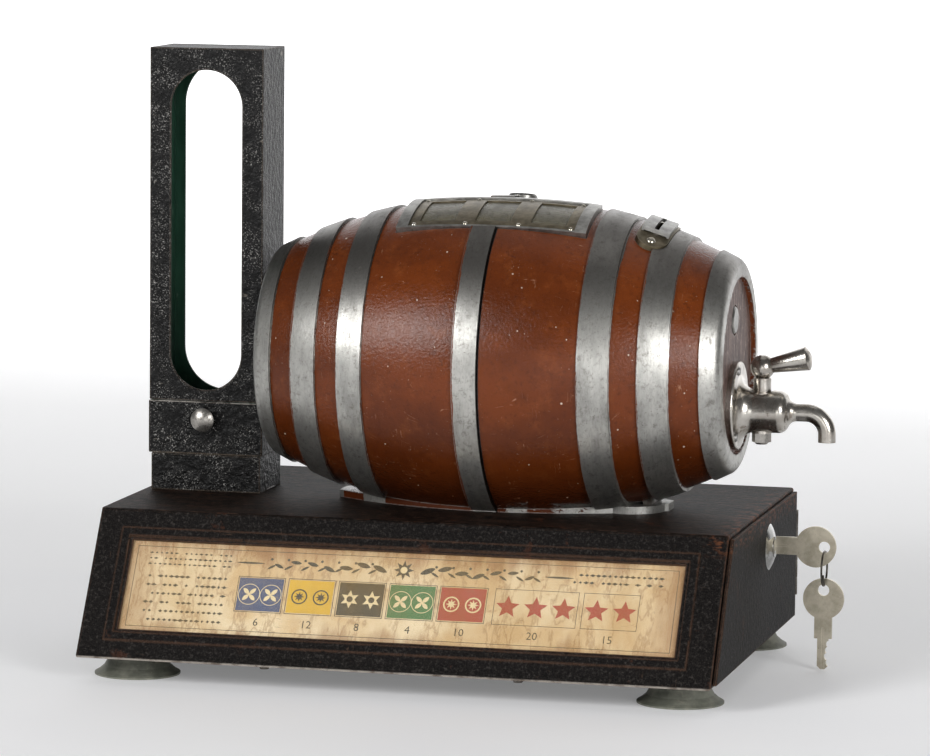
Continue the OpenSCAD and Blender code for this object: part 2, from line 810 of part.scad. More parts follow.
module coin_chute() {
    color("#8a857b") difference() {
        plate_x(chute_x - chute_in / 2 - chute_t, chute_in + 2 * chute_t)
            chute2d(chute_room / 2 + chute_t, 0);
        plate_x(chute_x - chute_in / 2, chute_in) chute2d(chute_room / 2, 1);
    }
}

module head_bung() {
    color("#8f8a86") translate([spigot_x - bung_seat, barrel_y, barrel_z + bung_up]) rotate([0, 90, 0]) {
        rotate_extrude() polygon([[0, 0], [bung_r, 0], [bung_r, 0.9], [bung_r - 0.8, 1.6], [0, 1.9]]);
        translate([0, 0, -head_t]) cylinder(r = 4, h = head_t);
    }
}

// Flat bar with round ends between two points
module bar2d(p, q, w) {
    d = q - p;
    translate(p) circle(d = w);
    translate(q) circle(d = w);
    translate(p) rotate(atan2(d[1], d[0])) translate([0, -w / 2]) square([norm(d), w]);
}

function spacer_points() = [for (a = [30, 180])
    [reel_y + (reel_r + 5.5) * cos(a), reel_z + (reel_r + 5.5) * sin(a)]];

// Side plate of the reel frame, its foot turned in under the reels
module frame_plate(side) {
    hub = [reel_y, reel_z];
    inner = barrel_x + side * frame_x;
    outer = inner + side * frame_t;
    color("#7d7a74") difference() {
        union() {
            plate_x(min(inner, outer), frame_t) {
                bar2d(hub, [barrel_y, z_top + 16], 26);
                translate([barrel_y - 14, z_top]) square([28, 20]);
                bar2d(hub, pawl_rod, 12);
                bar2d(pawl_rod, kick_rod, 11);
                for (p = spacer_points()) bar2d(hub, p, 9);
            }
            translate([inner - (side > 0 ? frame_foot : 0), barrel_y - 14, z_top])
                cube([frame_foot, 28, frame_t]);
        }
        plate_x(min(inner, outer) - 1, frame_t + 2) {
            translate(hub) circle(shaft_r + run_gap);
            translate(pawl_rod) circle(rod_r + run_gap);
            translate(kick_rod) circle(rod_r + run_gap);
            for (p = spacer_points()) translate(p) circle(rod_r - 1 + run_gap);
            if (side > 0) translate([barrel_y, spigot_z]) circle(1 + run_gap);
        }
        translate([0, 0, z_top - 1]) linear_extrude(frame_t + 2)
            for (p = frame_screw_points()) translate(p) circle(screw_r + run_gap);
    }
}

module frame_plate_left() {
    frame_plate(-1);
}

module frame_plate_right() {
    frame_plate(1);
}

// Round rod along X through a point given as Y and Z
module rod_x(p, x0, x1, r) {
    translate([x0, p[0], p[1]]) rotate([0, 90, 0]) cylinder(r = r, h = x1 - x0);
}

module frame_spacers() {
    color("#9a958a") for (p = spacer_points()) {
        rod_x(p, barrel_x - frame_x, barrel_x + frame_x, rod_r);
        rod_x(p, barrel_x - frame_x - frame_t - 1, barrel_x + frame_x + frame_t + 1, rod_r - 1);
    }
}

module reel_shaft() {
    hub = [reel_y, reel_z];
    color("#9a958a") {
        rod_x(hub, barrel_x - frame_x - frame_t - 2, barrel_x + frame_x + frame_t + 2, shaft_r);
        for (e = [[-frame_x, -reel_pitch - reel_w / 2], [star_end - reel_pitch, -reel_w / 2],
            [star_end, reel_pitch - reel_w / 2], [reel_pitch + star_end, frame_x]])
            rod_x(hub, barrel_x + e[0] + move_gap, barrel_x + e[1] - move_gap, shaft_r + 2.5);
    }
}

// Reel with a thin rim, a pierced web, and a scalloped star wheel that the pawls hold
module reel(k) {
    color("#c9b98a") translate([barrel_x + k * reel_pitch, reel_y, reel_z]) rotate([90, 0, 90]) {
        translate([0, 0, -reel_w / 2]) linear_extrude(reel_w) difference() {
            circle(reel_r, $fn = 120);
            circle(reel_r - 1.4, $fn = 120);
        }
        translate([0, 0, -0.8]) linear_extrude(1.6) difference() {
            circle(reel_r - 0.7, $fn = 120);
            circle(shaft_r + run_gap);
            for (a = [0:60:300]) rotate(a) translate([reel_r * 0.58, 0]) circle(reel_r * 0.19);
        }
        translate([0, 0, -reel_w / 2]) linear_extrude(reel_w / 2 + star_end) difference() {
            circle(shaft_r + 4);
            circle(shaft_r + run_gap);
        }
        translate([0, 0, star_x]) linear_extrude(star_t) difference() {
            circle(star_r);
            circle(shaft_r + run_gap);
            for (i = [1:reel_stops]) rotate(i * 360 / reel_stops + roller_a)
                translate([star_r + 1.2, 0]) circle(roller_r + 0.3);
        }
    }
}

module reel_left() {
    reel(-1);
}

module reel_middle() {
    reel(0);
}

module reel_right() {
    reel(1);
}

module pawl_set() {
    tip = lift_mid + lift_up * (lift_r + lift_gap / 2);
    elbow = [reel_y, reel_z] + (roller_off + 5) * [cos(roller_a), sin(roller_a)];
    arm_w = 2 * rod_r - 1;
    color("#b08d4a") {
        rod_x(pawl_rod, barrel_x - frame_x - frame_t - 1.5, barrel_x + frame_x + frame_t + 1.5, rod_r);
        for (k = [-1, 0, 1]) plate_x(barrel_x + k * reel_pitch + star_x + 0.3, star_t - 0.6) {
            bar2d(pawl_rod, elbow, arm_w);
            bar2d(elbow, roller_at, arm_w - 0.4);
            translate(roller_at) circle(roller_r);
        }
        plate_x(barrel_x + reel_pitch + star_x + 0.3, star_t - 0.6) {
            bar2d(pawl_rod, tip, 3.6);
            translate(tip) circle(lift_r);
        }
    }
}

// Rod with three fingers under the star wheels, a lifting tail and a tail that the wedge pushes
module kicker() {
    finger_r = 1.6;
    finger = [reel_y, reel_z] + (star_r + finger_r + 0.6) * [cos(-80), sin(-80)];
    tip = lift_mid - lift_up * (lift_r + lift_gap / 2);
    reach = [barrel_y, spigot_z] - kick_rod;
    push_at = [barrel_y, spigot_z] + (1.3 + tail_t) * [-reach[1], reach[0]] / norm(reach);
    color("#8f8f8c") {
        rod_x(kick_rod, barrel_x - frame_x - frame_t - 1.5, tail_x + tail_t, rod_r);
        for (k = [-1, 0, 1]) plate_x(barrel_x + k * reel_pitch + star_x + 0.3, star_t - 0.6)
            bar2d(kick_rod, finger, 2 * finger_r);
        plate_x(barrel_x + reel_pitch + star_x + 0.3, star_t - 0.6) {
            bar2d(kick_rod, tip, 3.6);
            translate(tip) circle(lift_r);
        }
        plate_x(tail_x, tail_t) bar2d(kick_rod, push_at, 2 * tail_t);
    }
}

// Coil of round wire round the kicker's rod, each ring of points set by its turn
module return_spring() {
    turns = 4;
    steps = 20;
    sides = 6;
    wire = 0.5;
    coil = rod_r + 1.4;
    pitch = 1.3;
    rings = turns * steps;
    x0 = barrel_x - frame_x + 0.9;
    points = [for (i = [0:rings]) for (j = [0:sides - 1])
        let (t = i * 360 / steps, u = j * 360 / sides, r = coil + wire * cos(u))
        [x0 + pitch * i / steps + wire * sin(u), kick_rod[0] + r * cos(t), kick_rod[1] + r * sin(t)]];
    faces = concat(
        [[for (j = [0:sides - 1]) j]],
        [for (i = [0:rings - 1]) for (j = [0:sides - 1])
            let (a = i * sides + j, b = i * sides + (j + 1) % sides) [a, a + sides, b + sides, b]],
        [[for (j = [sides - 1:-1:0]) rings * sides + j]]);
    color("#8a857b") polyhedron(points, faces, convexity = 6);
}

module push_rod() {
    pilot = frame_t + 5;
    color("#9a958a") translate([wedge_x, barrel_y, spigot_z]) rotate([0, 90, 0]) {
        translate([0, 0, -pilot]) cylinder(r = 1, h = pilot + 1);
        cylinder(r1 = 1, r2 = wedge_r, h = 4);
        translate([0, 0, 4]) cylinder(r = wedge_r, h = 1.2);
        translate([0, 0, 4]) cylinder(r = push_r, h = stem_x - rod_tip - wedge_x - 4);
        translate([0, 0, stem_x - rod_tip - wedge_x]) sphere(push_r);
    }
}

// Half section of the spigot without its flange, radius along X and its length along Y
module spigot_profile() {
    swell = spigot_r - spout_r;
    s_r = (taper_l * taper_l + swell * swell) / (4 * swell);
    difference() {
        translate([0, flange_t]) square([spigot_r + bell_r, bell_r]);
        translate([spigot_r + bell_r, flange_t + bell_r]) circle(bell_r);
    }
    square([spigot_r, body_l]);
    translate([0, body_l]) {
        intersection() {
            translate([spigot_r - s_r, 0]) circle(s_r);
            square([spigot_r, taper_l / 2]);
        }
        square([spigot_r - s_r, taper_l / 2]);
        difference() {
            translate([0, taper_l / 2]) square([spigot_r - swell / 2, taper_l / 2]);
            translate([spout_r + s_r, taper_l]) circle(s_r);
        }
        translate([0, taper_l]) square([spout_r, spout_x - spigot_x - body_l - taper_l]);
    }
}

module spigot_body() {
    color("#a8a9a6") difference() {
        union() {
            translate([spigot_x, barrel_y, spigot_z]) rotate([0, 90, 0]) {
                rotate_extrude() spigot_profile();
                translate([-flange_up, 0, 0]) rotate_extrude() {
                    square([spigot_flange_r - flange_edge, flange_t]);
                    square([spigot_flange_r, flange_t - flange_edge]);
                    translate([spigot_flange_r - flange_edge, flange_t - flange_edge]) circle(flange_edge);
                }
                translate([0, 0, -head_t]) cylinder(r = neck_r, h = head_t + 1);
            }
            translate([spout_x, barrel_y, spigot_z - spout_bend]) {
                rotate([90, 0, 0]) rotate_extrude(angle = 90) translate([spout_bend, 0]) circle(spout_r);
                translate([spout_bend, 0, -spout_drop]) cylinder(r = spout_r, h = spout_drop);
            }
            translate([stem_x, barrel_y, boss_z]) cylinder(r = 5.4, h = 6);
        }
        translate([spout_x + spout_bend, barrel_y, spigot_z - spout_bend - spout_drop - 1])
            cylinder(r = 3.2, h = spout_drop + 1);
        translate([stem_x, barrel_y, spigot_z - 8]) cylinder(r = cock_r + run_gap, h = 30);
        translate([stem_x, barrel_y, boss_z - 1]) cylinder(r = 3 + run_gap, h = 20);
        rod_x([barrel_y, spigot_z], spigot_x - head_t - 1, stem_x, push_r + run_gap);
        for (p = spigot_screw_points()) {
            rod_x(p, spigot_x - 1, spigot_x + 10, screw_r + screw_gap);
            rod_x(p, spigot_x + flange_t - 0.4, spigot_x + 14, 2.6);
        }
    }
}

module spigot_screws() {
    color("#8f8f8c") for (p = spigot_screw_points()) translate([spigot_x + flange_t - 0.4, p[0], p[1]])
        rotate([0, -90, 0]) screw(flange_t + head_t - 1, screw_r, 2.4, 1.4);
}

// Turning plug, with a scoop cut by the push rod's own way as the plug turns
module spigot_plug() {
    color("#a8a9a6") translate([stem_x, barrel_y, spigot_z]) {
        translate([0, 0, -7.9]) difference() {
            cylinder(r = cock_r, h = 18.2);
            translate([0, 0, 7.9 - push_r - 0.6]) linear_extrude(2 * push_r + 1.2) for (i = [0:10])
                rotate(180 + push_turn * i / 10) translate([rod_tip + push_travel * i / 10, 0])
                    circle(push_r + 0.3);
        }
        translate([0, 0, boss_z - spigot_z - 4.6]) cylinder(r = 3, h = 10);
        translate([0, 0, 10]) cylinder(r = 4.8, h = ball_z - spigot_z - ball_r + 0.9 - 10);
        translate([0, 0, 10]) cylinder(r = 2.4, h = ball_z - spigot_z - 11);
    }
}

module spigot_handle() {
    cap_h = 2.2;
    end_r = 6.5;
    cap_r = (end_r * end_r + cap_h * cap_h) / (2 * cap_h);
    color("#a8a9a6") translate([stem_x, barrel_y, ball_z]) difference() {
        union() {
            sphere(ball_r);
            rotate([0, 90 - handle_tilt, 0]) translate([0, 0, 5]) rotate_extrude() {
                polygon([[0, 0], [4, 0], [end_r, handle_l], [0, handle_l]]);
                intersection() {
                    translate([0, handle_l + cap_h - cap_r]) circle(cap_r);
                    translate([0, handle_l]) square([end_r, cap_h]);
                }
            }
        }
        translate([0, 0, -ball_r - 1]) cylinder(r = 2.4 + run_gap, h = ball_r + 0.2);
        translate([0, 0, -ball_r - 1]) cylinder(r = 8, h = 1.9);
    }
}

module spigot_nut() {
    color("#a09a8c") translate([stem_x, barrel_y, boss_z]) difference() {
        union() {
            translate([0, 0, -4.8]) cylinder(r = 5.3, h = 4.8, $fn = 6);
            translate([0, 0, -6]) cylinder(r1 = 3, r2 = 4.2, h = 1.3);
        }
        translate([0, 0, -4.7]) cylinder(r = 3 + run_gap, h = 6);
    }
}

// Sheet metal stand under the magazine, with a screw tab turned in at each side
module pedestal() {
    x0 = tower_x + 1;
    x1 = tower_x + tower_w - 1;
    y0 = tower_y + 0.5;
    y1 = tower_y + tower_d - 0.5;
    color("#1d1c1b") difference() {
        union() {
            difference() {
                span([x0, y0, z_top], [x1, y1, drawer_z]);
                span([x0 + sheet_t, y0 + sheet_t, z_top - 1],
                    [x1 - sheet_t, y1 - sheet_t, drawer_z - sheet_t]);
            }
            for (p = pedestal_screw_points()) translate([p[0], p[1], z_top + sheet_t / 2])
                cube([17, 14, sheet_t], center = true);
        }
        for (p = pedestal_screw_points()) translate([p[0], p[1], z_top - 1])
            cylinder(r = screw_r + run_gap, h = sheet_t + 2);
    }
}

// Stadium window through the front or back of the magazine
module tower_window(y0, depth, less) {
    translate([tower_mid, y0 + depth, (win_low + win_high) / 2]) rotate([90, 0, 0]) linear_extrude(depth)
        slot2d(tower_win_w - 2 * less, win_high - win_low - 2 * less);
}

// Holes for the lid's pin through a pair of side walls
module lid_pin_bore() {
    rod_x([lid_pin_y, lid_pin_z], tower_x - 1, tower_x + tower_w + 1, pin_r + run_gap);
}

// Green channel with an open front that holds the pretzels
module magazine_liner() {
    x0 = tower_x + sheet_t;
    x1 = tower_x + tower_w - sheet_t;
    y0 = tower_y + sheet_t;
    y1 = tower_y + tower_d - sheet_t;
    color("#1f3a2c") difference() {
        span([x0, y0, drawer_z], [x1, y1, liner_top]);
        span([x0 + liner_t, y0 - 1, drawer_z - 1], [x1 - liner_t, y1 - liner_t, tower_top]);
        span([x0 + liner_t, y0, tower_top - lid_notch], [x1 - liner_t, y1 + 1, tower_top]);
        span([x0 - 1, lid_pin_y - pin_r - 2, tower_top - lid_notch], [x1 + 1, y1 + 1, tower_top]);
        tower_window(y1 - liner_t - 1, liner_t + 2, 0.6 - rear_more);
    }
}

module magazine_column() {
    color("#1d1c1b") difference() {
        span([tower_x, tower_y, column_z], [tower_x + tower_w, tower_y + tower_d, tower_top]);
        span([tower_x + sheet_t, tower_y + sheet_t, column_z - 1],
            [tower_x + tower_w - sheet_t, tower_y + tower_d - sheet_t, tower_top + 1]);
        tower_window(tower_y - 1, tower_d / 2, 0);
        tower_window(tower_y + tower_d / 2, tower_d / 2 + 1, -rear_more);
        lid_pin_bore();
    }
}

// Lid lying inside the column's mouth, with two knuckles under its rear edge
module magazine_lid() {
    inner = sheet_t + lid_gap;
    knuckle_w = 9;
    color("#1d1c1b") difference() {
        union() {
            span([tower_x + inner, tower_y + inner, liner_top],
                [tower_x + tower_w - inner, lid_pin_y + 0.8, tower_top]);
            for (s = [-1, 1])
                translate([tower_mid + s * tower_w * 0.3 - knuckle_w / 2, lid_pin_y, lid_pin_z]) {
                rotate([0, 90, 0]) cylinder(r = pin_r + 1, h = knuckle_w);
                translate([0, -pin_r - 1, 0]) cube([knuckle_w, pin_r + 1.8, liner_top + 0.5 - lid_pin_z]);
            }
        }
        lid_pin_bore();
    }
}

module lid_pin() {
    color("#8a857b") rod_x([lid_pin_y, lid_pin_z], tower_x, tower_x + tower_w, pin_r);
}

// Drawer front with side flaps outside the liner, and a low tray between the liner's walls
module vend_drawer() {
    out = tower_x - 0.3;
    wide = tower_w + 0.6;
    front = tower_y - drawer_proud;
    tray_x = tower_x + sheet_t + liner_t + move_gap;
    tray_w = tower_w - 2 * (sheet_t + liner_t + move_gap);
    tray_d = tower_d + drawer_proud - sheet_t - liner_t - 1.5;
    wall_h = 14;
    color("#1d1c1b") {
        difference() {
            union() {
                difference() {
                    translate([out, front, drawer_z + 0.3])
                        cube([wide, tower_d + drawer_proud - 1.5, drawer_h - 0.3]);
                    translate([out + sheet_t, front + sheet_t, drawer_z])
                        cube([wide - 2 * sheet_t, tower_d, drawer_h + 1]);
                }
                translate([tray_x, front + 0.1, drawer_z]) cube([tray_w, tray_d, wall_h]);
            }
            translate([tray_x + liner_t, front + sheet_t, drawer_z + sheet_t])
                cube([tray_w - 2 * liner_t, tray_d - sheet_t - liner_t, wall_h]);
            at_knob() cylinder(r = 2 + run_gap, h = 6, center = true);
        }
    }
}

// Children drawn with Z straight out of the drawer front at the knob
module at_knob() {
    translate([tower_mid, tower_y - drawer_proud, z_top + pedestal_h + drawer_h * 0.68]) rotate([90, 0, 0])
        children();
}

module drawer_knob() {
    cap_h = 2.4;
    cap_r = (knob_r * knob_r + cap_h * cap_h) / (2 * cap_h);
    color("#8f8f8c") at_knob() rotate_extrude() {
        translate([0, -sheet_t - 2]) square([2, sheet_t + 3]);
        polygon([[0, 0], [4.2, 0], [3.4, 1], [3.2, 2.6], [knob_r - 0.6, 4.4], [knob_r, 5.2],
            [knob_r, 6], [0, 6]]);
        intersection() {
            translate([0, 6 + cap_h - cap_r]) circle(cap_r);
            translate([0, 6]) square([knob_r, cap_h]);
        }
    }
}

// Outline of the door, set in from the box's edges
module door2d(inset) {
    side2d(inset / sin(slope_a), inset);
}

module side_door() {
    color("#2b2724") difference() {
        plate_x(x_right + 0.3, door_proud - 0.3) door2d(door_inset);
        plate_x(x_right - 1, door_proud + 1 - door_skin) door2d(door_inset + door_skin);
        translate([x_right - 1, y_back - 20, hinge_z - 0.4])
            cube([door_proud + 1 - door_skin, 30, hinge_h + 0.8]);
        rod_x([lock_y, lock_z], x_right - 1, door_x + 1, case_r + screw_gap);
    }
}

// Knuckles of a hinge round its pin, every second one
module knuckles(first) {
    for (i = [first:2:4]) translate([hinge_x, hinge_y, hinge_z + i * knuckle + 0.15])
        cylinder(r = hinge_r, h = knuckle - 0.3);
}

module hinge_leaf_fixed() {
    color("#3a322c") difference() {
        union() {
            knuckles(0);
            span([x_right - 18, y_back, hinge_z], [hinge_x - hinge_r - 0.4, y_back + 1, hinge_z + hinge_h]);
            for (i = [0:2:4]) span([x_right - 18, y_back, hinge_z + i * knuckle + 0.15],
                [hinge_x, y_back + 1, hinge_z + (i + 1) * knuckle - 0.15]);
        }
        translate([hinge_x, hinge_y, hinge_z - 1]) cylinder(r = hinge_pin_r + run_gap, h = hinge_h + 2);
    }
}

module hinge_leaf_door() {
    low_x = x_right + 0.3;
    high_x = door_x - door_skin;
    color("#3a322c") difference() {
        union() {
            knuckles(1);
            span([low_x, y_back - 19, hinge_z], [high_x, hinge_y - hinge_r - 0.4, hinge_z + hinge_h]);
            for (i = [1:2:3]) span([low_x, y_back - 19, hinge_z + i * knuckle + 0.15],
                [high_x, hinge_y - hinge_pin_r - 0.3, hinge_z + (i + 1) * knuckle - 0.15]);
        }
        translate([hinge_x, hinge_y, hinge_z - 1]) cylinder(r = hinge_pin_r + run_gap, h = hinge_h + 2);
    }
}

module hinge_pin() {
    color("#8a857b") translate([hinge_x, hinge_y, hinge_z - 0.5]) cylinder(r = hinge_pin_r, h = hinge_h + 1);
}

// Children drawn with Z out of the door's face at the lock
module at_lock() {
    translate([door_x, lock_y, lock_z]) rotate([0, 90, 0]) children();
}

module lock_case() {
    dome_r = (lock_face_r * lock_face_r + lock_dome_h * lock_dome_h) / (2 * lock_dome_h);
    color("#c2c2c0") at_lock() difference() {
        union() {
            translate([0, 0, -case_l]) cylinder(r = case_r, h = case_l + 1);
            rotate_extrude() intersection() {
                translate([0, lock_dome_h - dome_r]) circle(dome_r);
                square([lock_face_r, lock_dome_h]);
            }
        }
        translate([0, 0, -case_l - 1]) cylinder(r = plug_r + run_gap, h = case_l + lock_dome_h + 2);
    }
}

module lock_nut() {
    color("#8a857b") at_lock() translate([0, 0, -door_skin - 2.4]) difference() {
        cylinder(r = case_r + 3, h = 2.4, $fn = 6);
        translate([0, 0, -1]) cylinder(r = case_r + run_gap, h = 5);
    }
}

// Lock plug with its keyway, and a square tail for the cam
module lock_plug() {
    color("#c2c2c0") at_lock() difference() {
        union() {
            translate([0, 0, -case_l]) cylinder(r = plug_r, h = case_l + lock_dome_h - 0.4);
            translate([-2.5, -2.5, -case_l - 2.5]) cube([5, 5, 3]);
        }
        translate([-key_up - blade_w / 2 - 0.15, -key_t / 2 - 0.1, lock_dome_h - blade_l - 0.6])
            cube([blade_w + 0.3, key_t + 0.2, blade_l + 1]);
    }
}

// Cranked cam on the plug's tail: it turns up behind the rim of the opening
module lock_cam() {
    back = -case_l - 1.6;
    near = -door_proud - sheet_t - 0.6;
    color("#8a857b") at_lock() difference() {
        union() {
            translate([0, 0, back]) linear_extrude(1.5) {
                circle(5.2);
                translate([-4, 0]) square([8, cam_l - 2]);
            }
            translate([-4, cam_l - 3.5, back]) cube([8, 1.5, near - back]);
            translate([-4, cam_l - 3.5, near - 1.5]) cube([8, 3.5, 1.5]);
        }
        translate([-2.55, -2.55, back - 1]) cube([5.1, 5.1, 4]);
    }
}

// Flat key lying along X from the middle of its bow, with its cuts towards +Y
module key2d() {
    root = bow_r - 1.4;
    difference() {
        union() {
            circle(bow_r);
            translate([0, -shank_w / 2]) square([root + shank_l, shank_w]);
            difference() {
                translate([root, -blade_w / 2]) square([shank_l + blade_l, blade_w]);
                for (i = [0:3])
                    translate([root + shank_l + 3 + i * blade_l * 0.2, blade_w / 2 + 0.9 - (i % 3) * 0.5])
                        circle(2.1);
                for (s = [-1, 1]) translate([root + shank_l + blade_l, s * blade_w / 2]) rotate(45)
                    square(2.6, center = true);
            }
        }
        translate([-hole_off, 0]) circle(bow_hole_r);
    }
}

module key_solid() {
    groove_x = bow_r - 1.4 + shank_l - 6;
    rotate([90, 0, 0]) difference() {
        translate([0, 0, -key_t / 2]) linear_extrude(key_t) key2d();
        for (s = [-1, 1]) translate([groove_x, -0.6, s * key_t / 2 - 0.35]) cube([blade_l + 7, 1.2, 0.7]);
    }
}

module door_key() {
    color("#b3a98c") translate([x_right + bow_x, lock_y, key_hole_z]) mirror([1, 0, 0]) key_solid();
}

module spare_key() {
    color("#b3a98c") translate([key_hole_x, lock_y, spare_z - hole_off]) rotate([0, 90, 0]) key_solid();
}

module key_ring() {
    color("#77736a") translate([key_hole_x, lock_y, ring_z]) rotate([90, 0, 90]) {
        rotate_extrude() translate([ring_r, 0]) circle(ring_wire_r);
        translate([0, 0, 1.8 * ring_wire_r]) rotate(195) rotate_extrude(angle = 45)
            translate([ring_r, 0]) circle(ring_wire_r);
    }
}

base_shell();
bottom_plate();
bottom_screws();
suction_feet();
foot_studs();
award_card();
card_window();
card_retainer();
cash_tray();
barrel_left_half();
barrel_right_half();
top_screws();
window_bezel();
window_plate();
window_pane();
window_rivets();
coin_plate();
coin_strap();
coin_screws();
coin_view_ring();
coin_view_glass();
coin_chute();
head_bung();
frame_plate_left();
frame_plate_right();
frame_spacers();
reel_shaft();
reel_left();
reel_middle();
reel_right();
pawl_set();
kicker();
return_spring();
push_rod();
spigot_body();
spigot_screws();
spigot_plug();
spigot_handle();
spigot_nut();
pedestal();
magazine_liner();
magazine_column();
magazine_lid();
lid_pin();
vend_drawer();
drawer_knob();
side_door();
hinge_leaf_fixed();
hinge_leaf_door();
hinge_pin();
lock_case();
lock_nut();
lock_plug();
lock_cam();
door_key();
key_ring();
spare_key();
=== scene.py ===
import math

import bmesh
import bpy
import numpy as np
from mathutils import Matrix, Vector


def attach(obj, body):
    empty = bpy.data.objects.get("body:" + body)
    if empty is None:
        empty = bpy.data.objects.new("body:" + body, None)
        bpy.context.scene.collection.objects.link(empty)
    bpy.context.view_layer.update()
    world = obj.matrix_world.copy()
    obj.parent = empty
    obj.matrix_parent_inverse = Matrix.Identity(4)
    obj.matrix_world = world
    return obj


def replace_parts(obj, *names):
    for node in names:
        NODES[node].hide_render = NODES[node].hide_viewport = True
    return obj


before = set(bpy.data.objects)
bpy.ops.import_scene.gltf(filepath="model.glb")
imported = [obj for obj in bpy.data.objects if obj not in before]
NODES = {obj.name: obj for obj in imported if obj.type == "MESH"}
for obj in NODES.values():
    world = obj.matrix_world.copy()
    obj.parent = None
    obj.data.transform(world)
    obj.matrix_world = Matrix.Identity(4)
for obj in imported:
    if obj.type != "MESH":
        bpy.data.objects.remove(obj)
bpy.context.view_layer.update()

MM = 0.001


def reach(node):
    """Lowest and highest place of a node along each axis, in millimetres."""
    points = np.array([v.co for v in NODES[node].data.vertices]) / MM
    return points.min(axis=0), points.max(axis=0)


# Sizes of the machine in millimetres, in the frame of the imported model
(BASE_LEFT, FRONT_LOW, BASE_LOW), (BASE_RIGHT, BACK, BASE_TOP) = reach("base_shell")
FRONT_HIGH = -77.0
DRAWER_TOP = reach("vend_drawer")[1][2]
LEFT_CASTING, RIGHT_CASTING = reach("barrel_left_half"), reach("barrel_right_half")
KEG = Vector(((LEFT_CASTING[0][0] + RIGHT_CASTING[1][0]) / 2, 9.0, 167.0))
SEAM = LEFT_CASTING[1][0] - KEG.x
FOOT_TOP = BASE_TOP + 7.0

# The keg's hoops from its middle, the length that they are laid out over, and its recessed heads
HOOPS = [(-128.0, -117.3), (-104.0, -89.2), (-75.8, -61.6), (-10.0, 3.6),
         (56.0, 72.2), (86.6, 102.0), (117.4, 128.0)]
HOOP_REACH = 131.0
HEAD_OPEN, HEAD_IN = 47.9, 120.0

# The part of the card that shows on the sloped front: its place along the base and up the slope
# from the lower edge, its size, and the heights of card and sheet off the slope's face
SLOPE = math.atan2(BASE_TOP - BASE_LOW, FRONT_HIGH - FRONT_LOW)
CARD_LEFT, CARD_RIGHT = [corner[0] for corner in reach("award_card")]
CARD_LAP = 3.0
CARD_X, CARD_W = CARD_LEFT + CARD_LAP, CARD_RIGHT - CARD_LEFT - 2 * CARD_LAP
CARD_UP, CARD_H = 17.8, 51.5
CARD_FACE, SHEET_FACE = -1.8, -1.5

# The middle row of the reel window, in degrees from the keg's top towards the front
WINDOW_TURN = 16.75


def paint(*chart):
    """A colour from its red, green and blue on a paint chart, 0 to 255."""
    shares = [part / 255 for part in chart]
    linear = [s / 12.92 if s <= 0.04045 else ((s + 0.055) / 1.055) ** 2.4 for s in shares]
    return (*linear, 1.0)


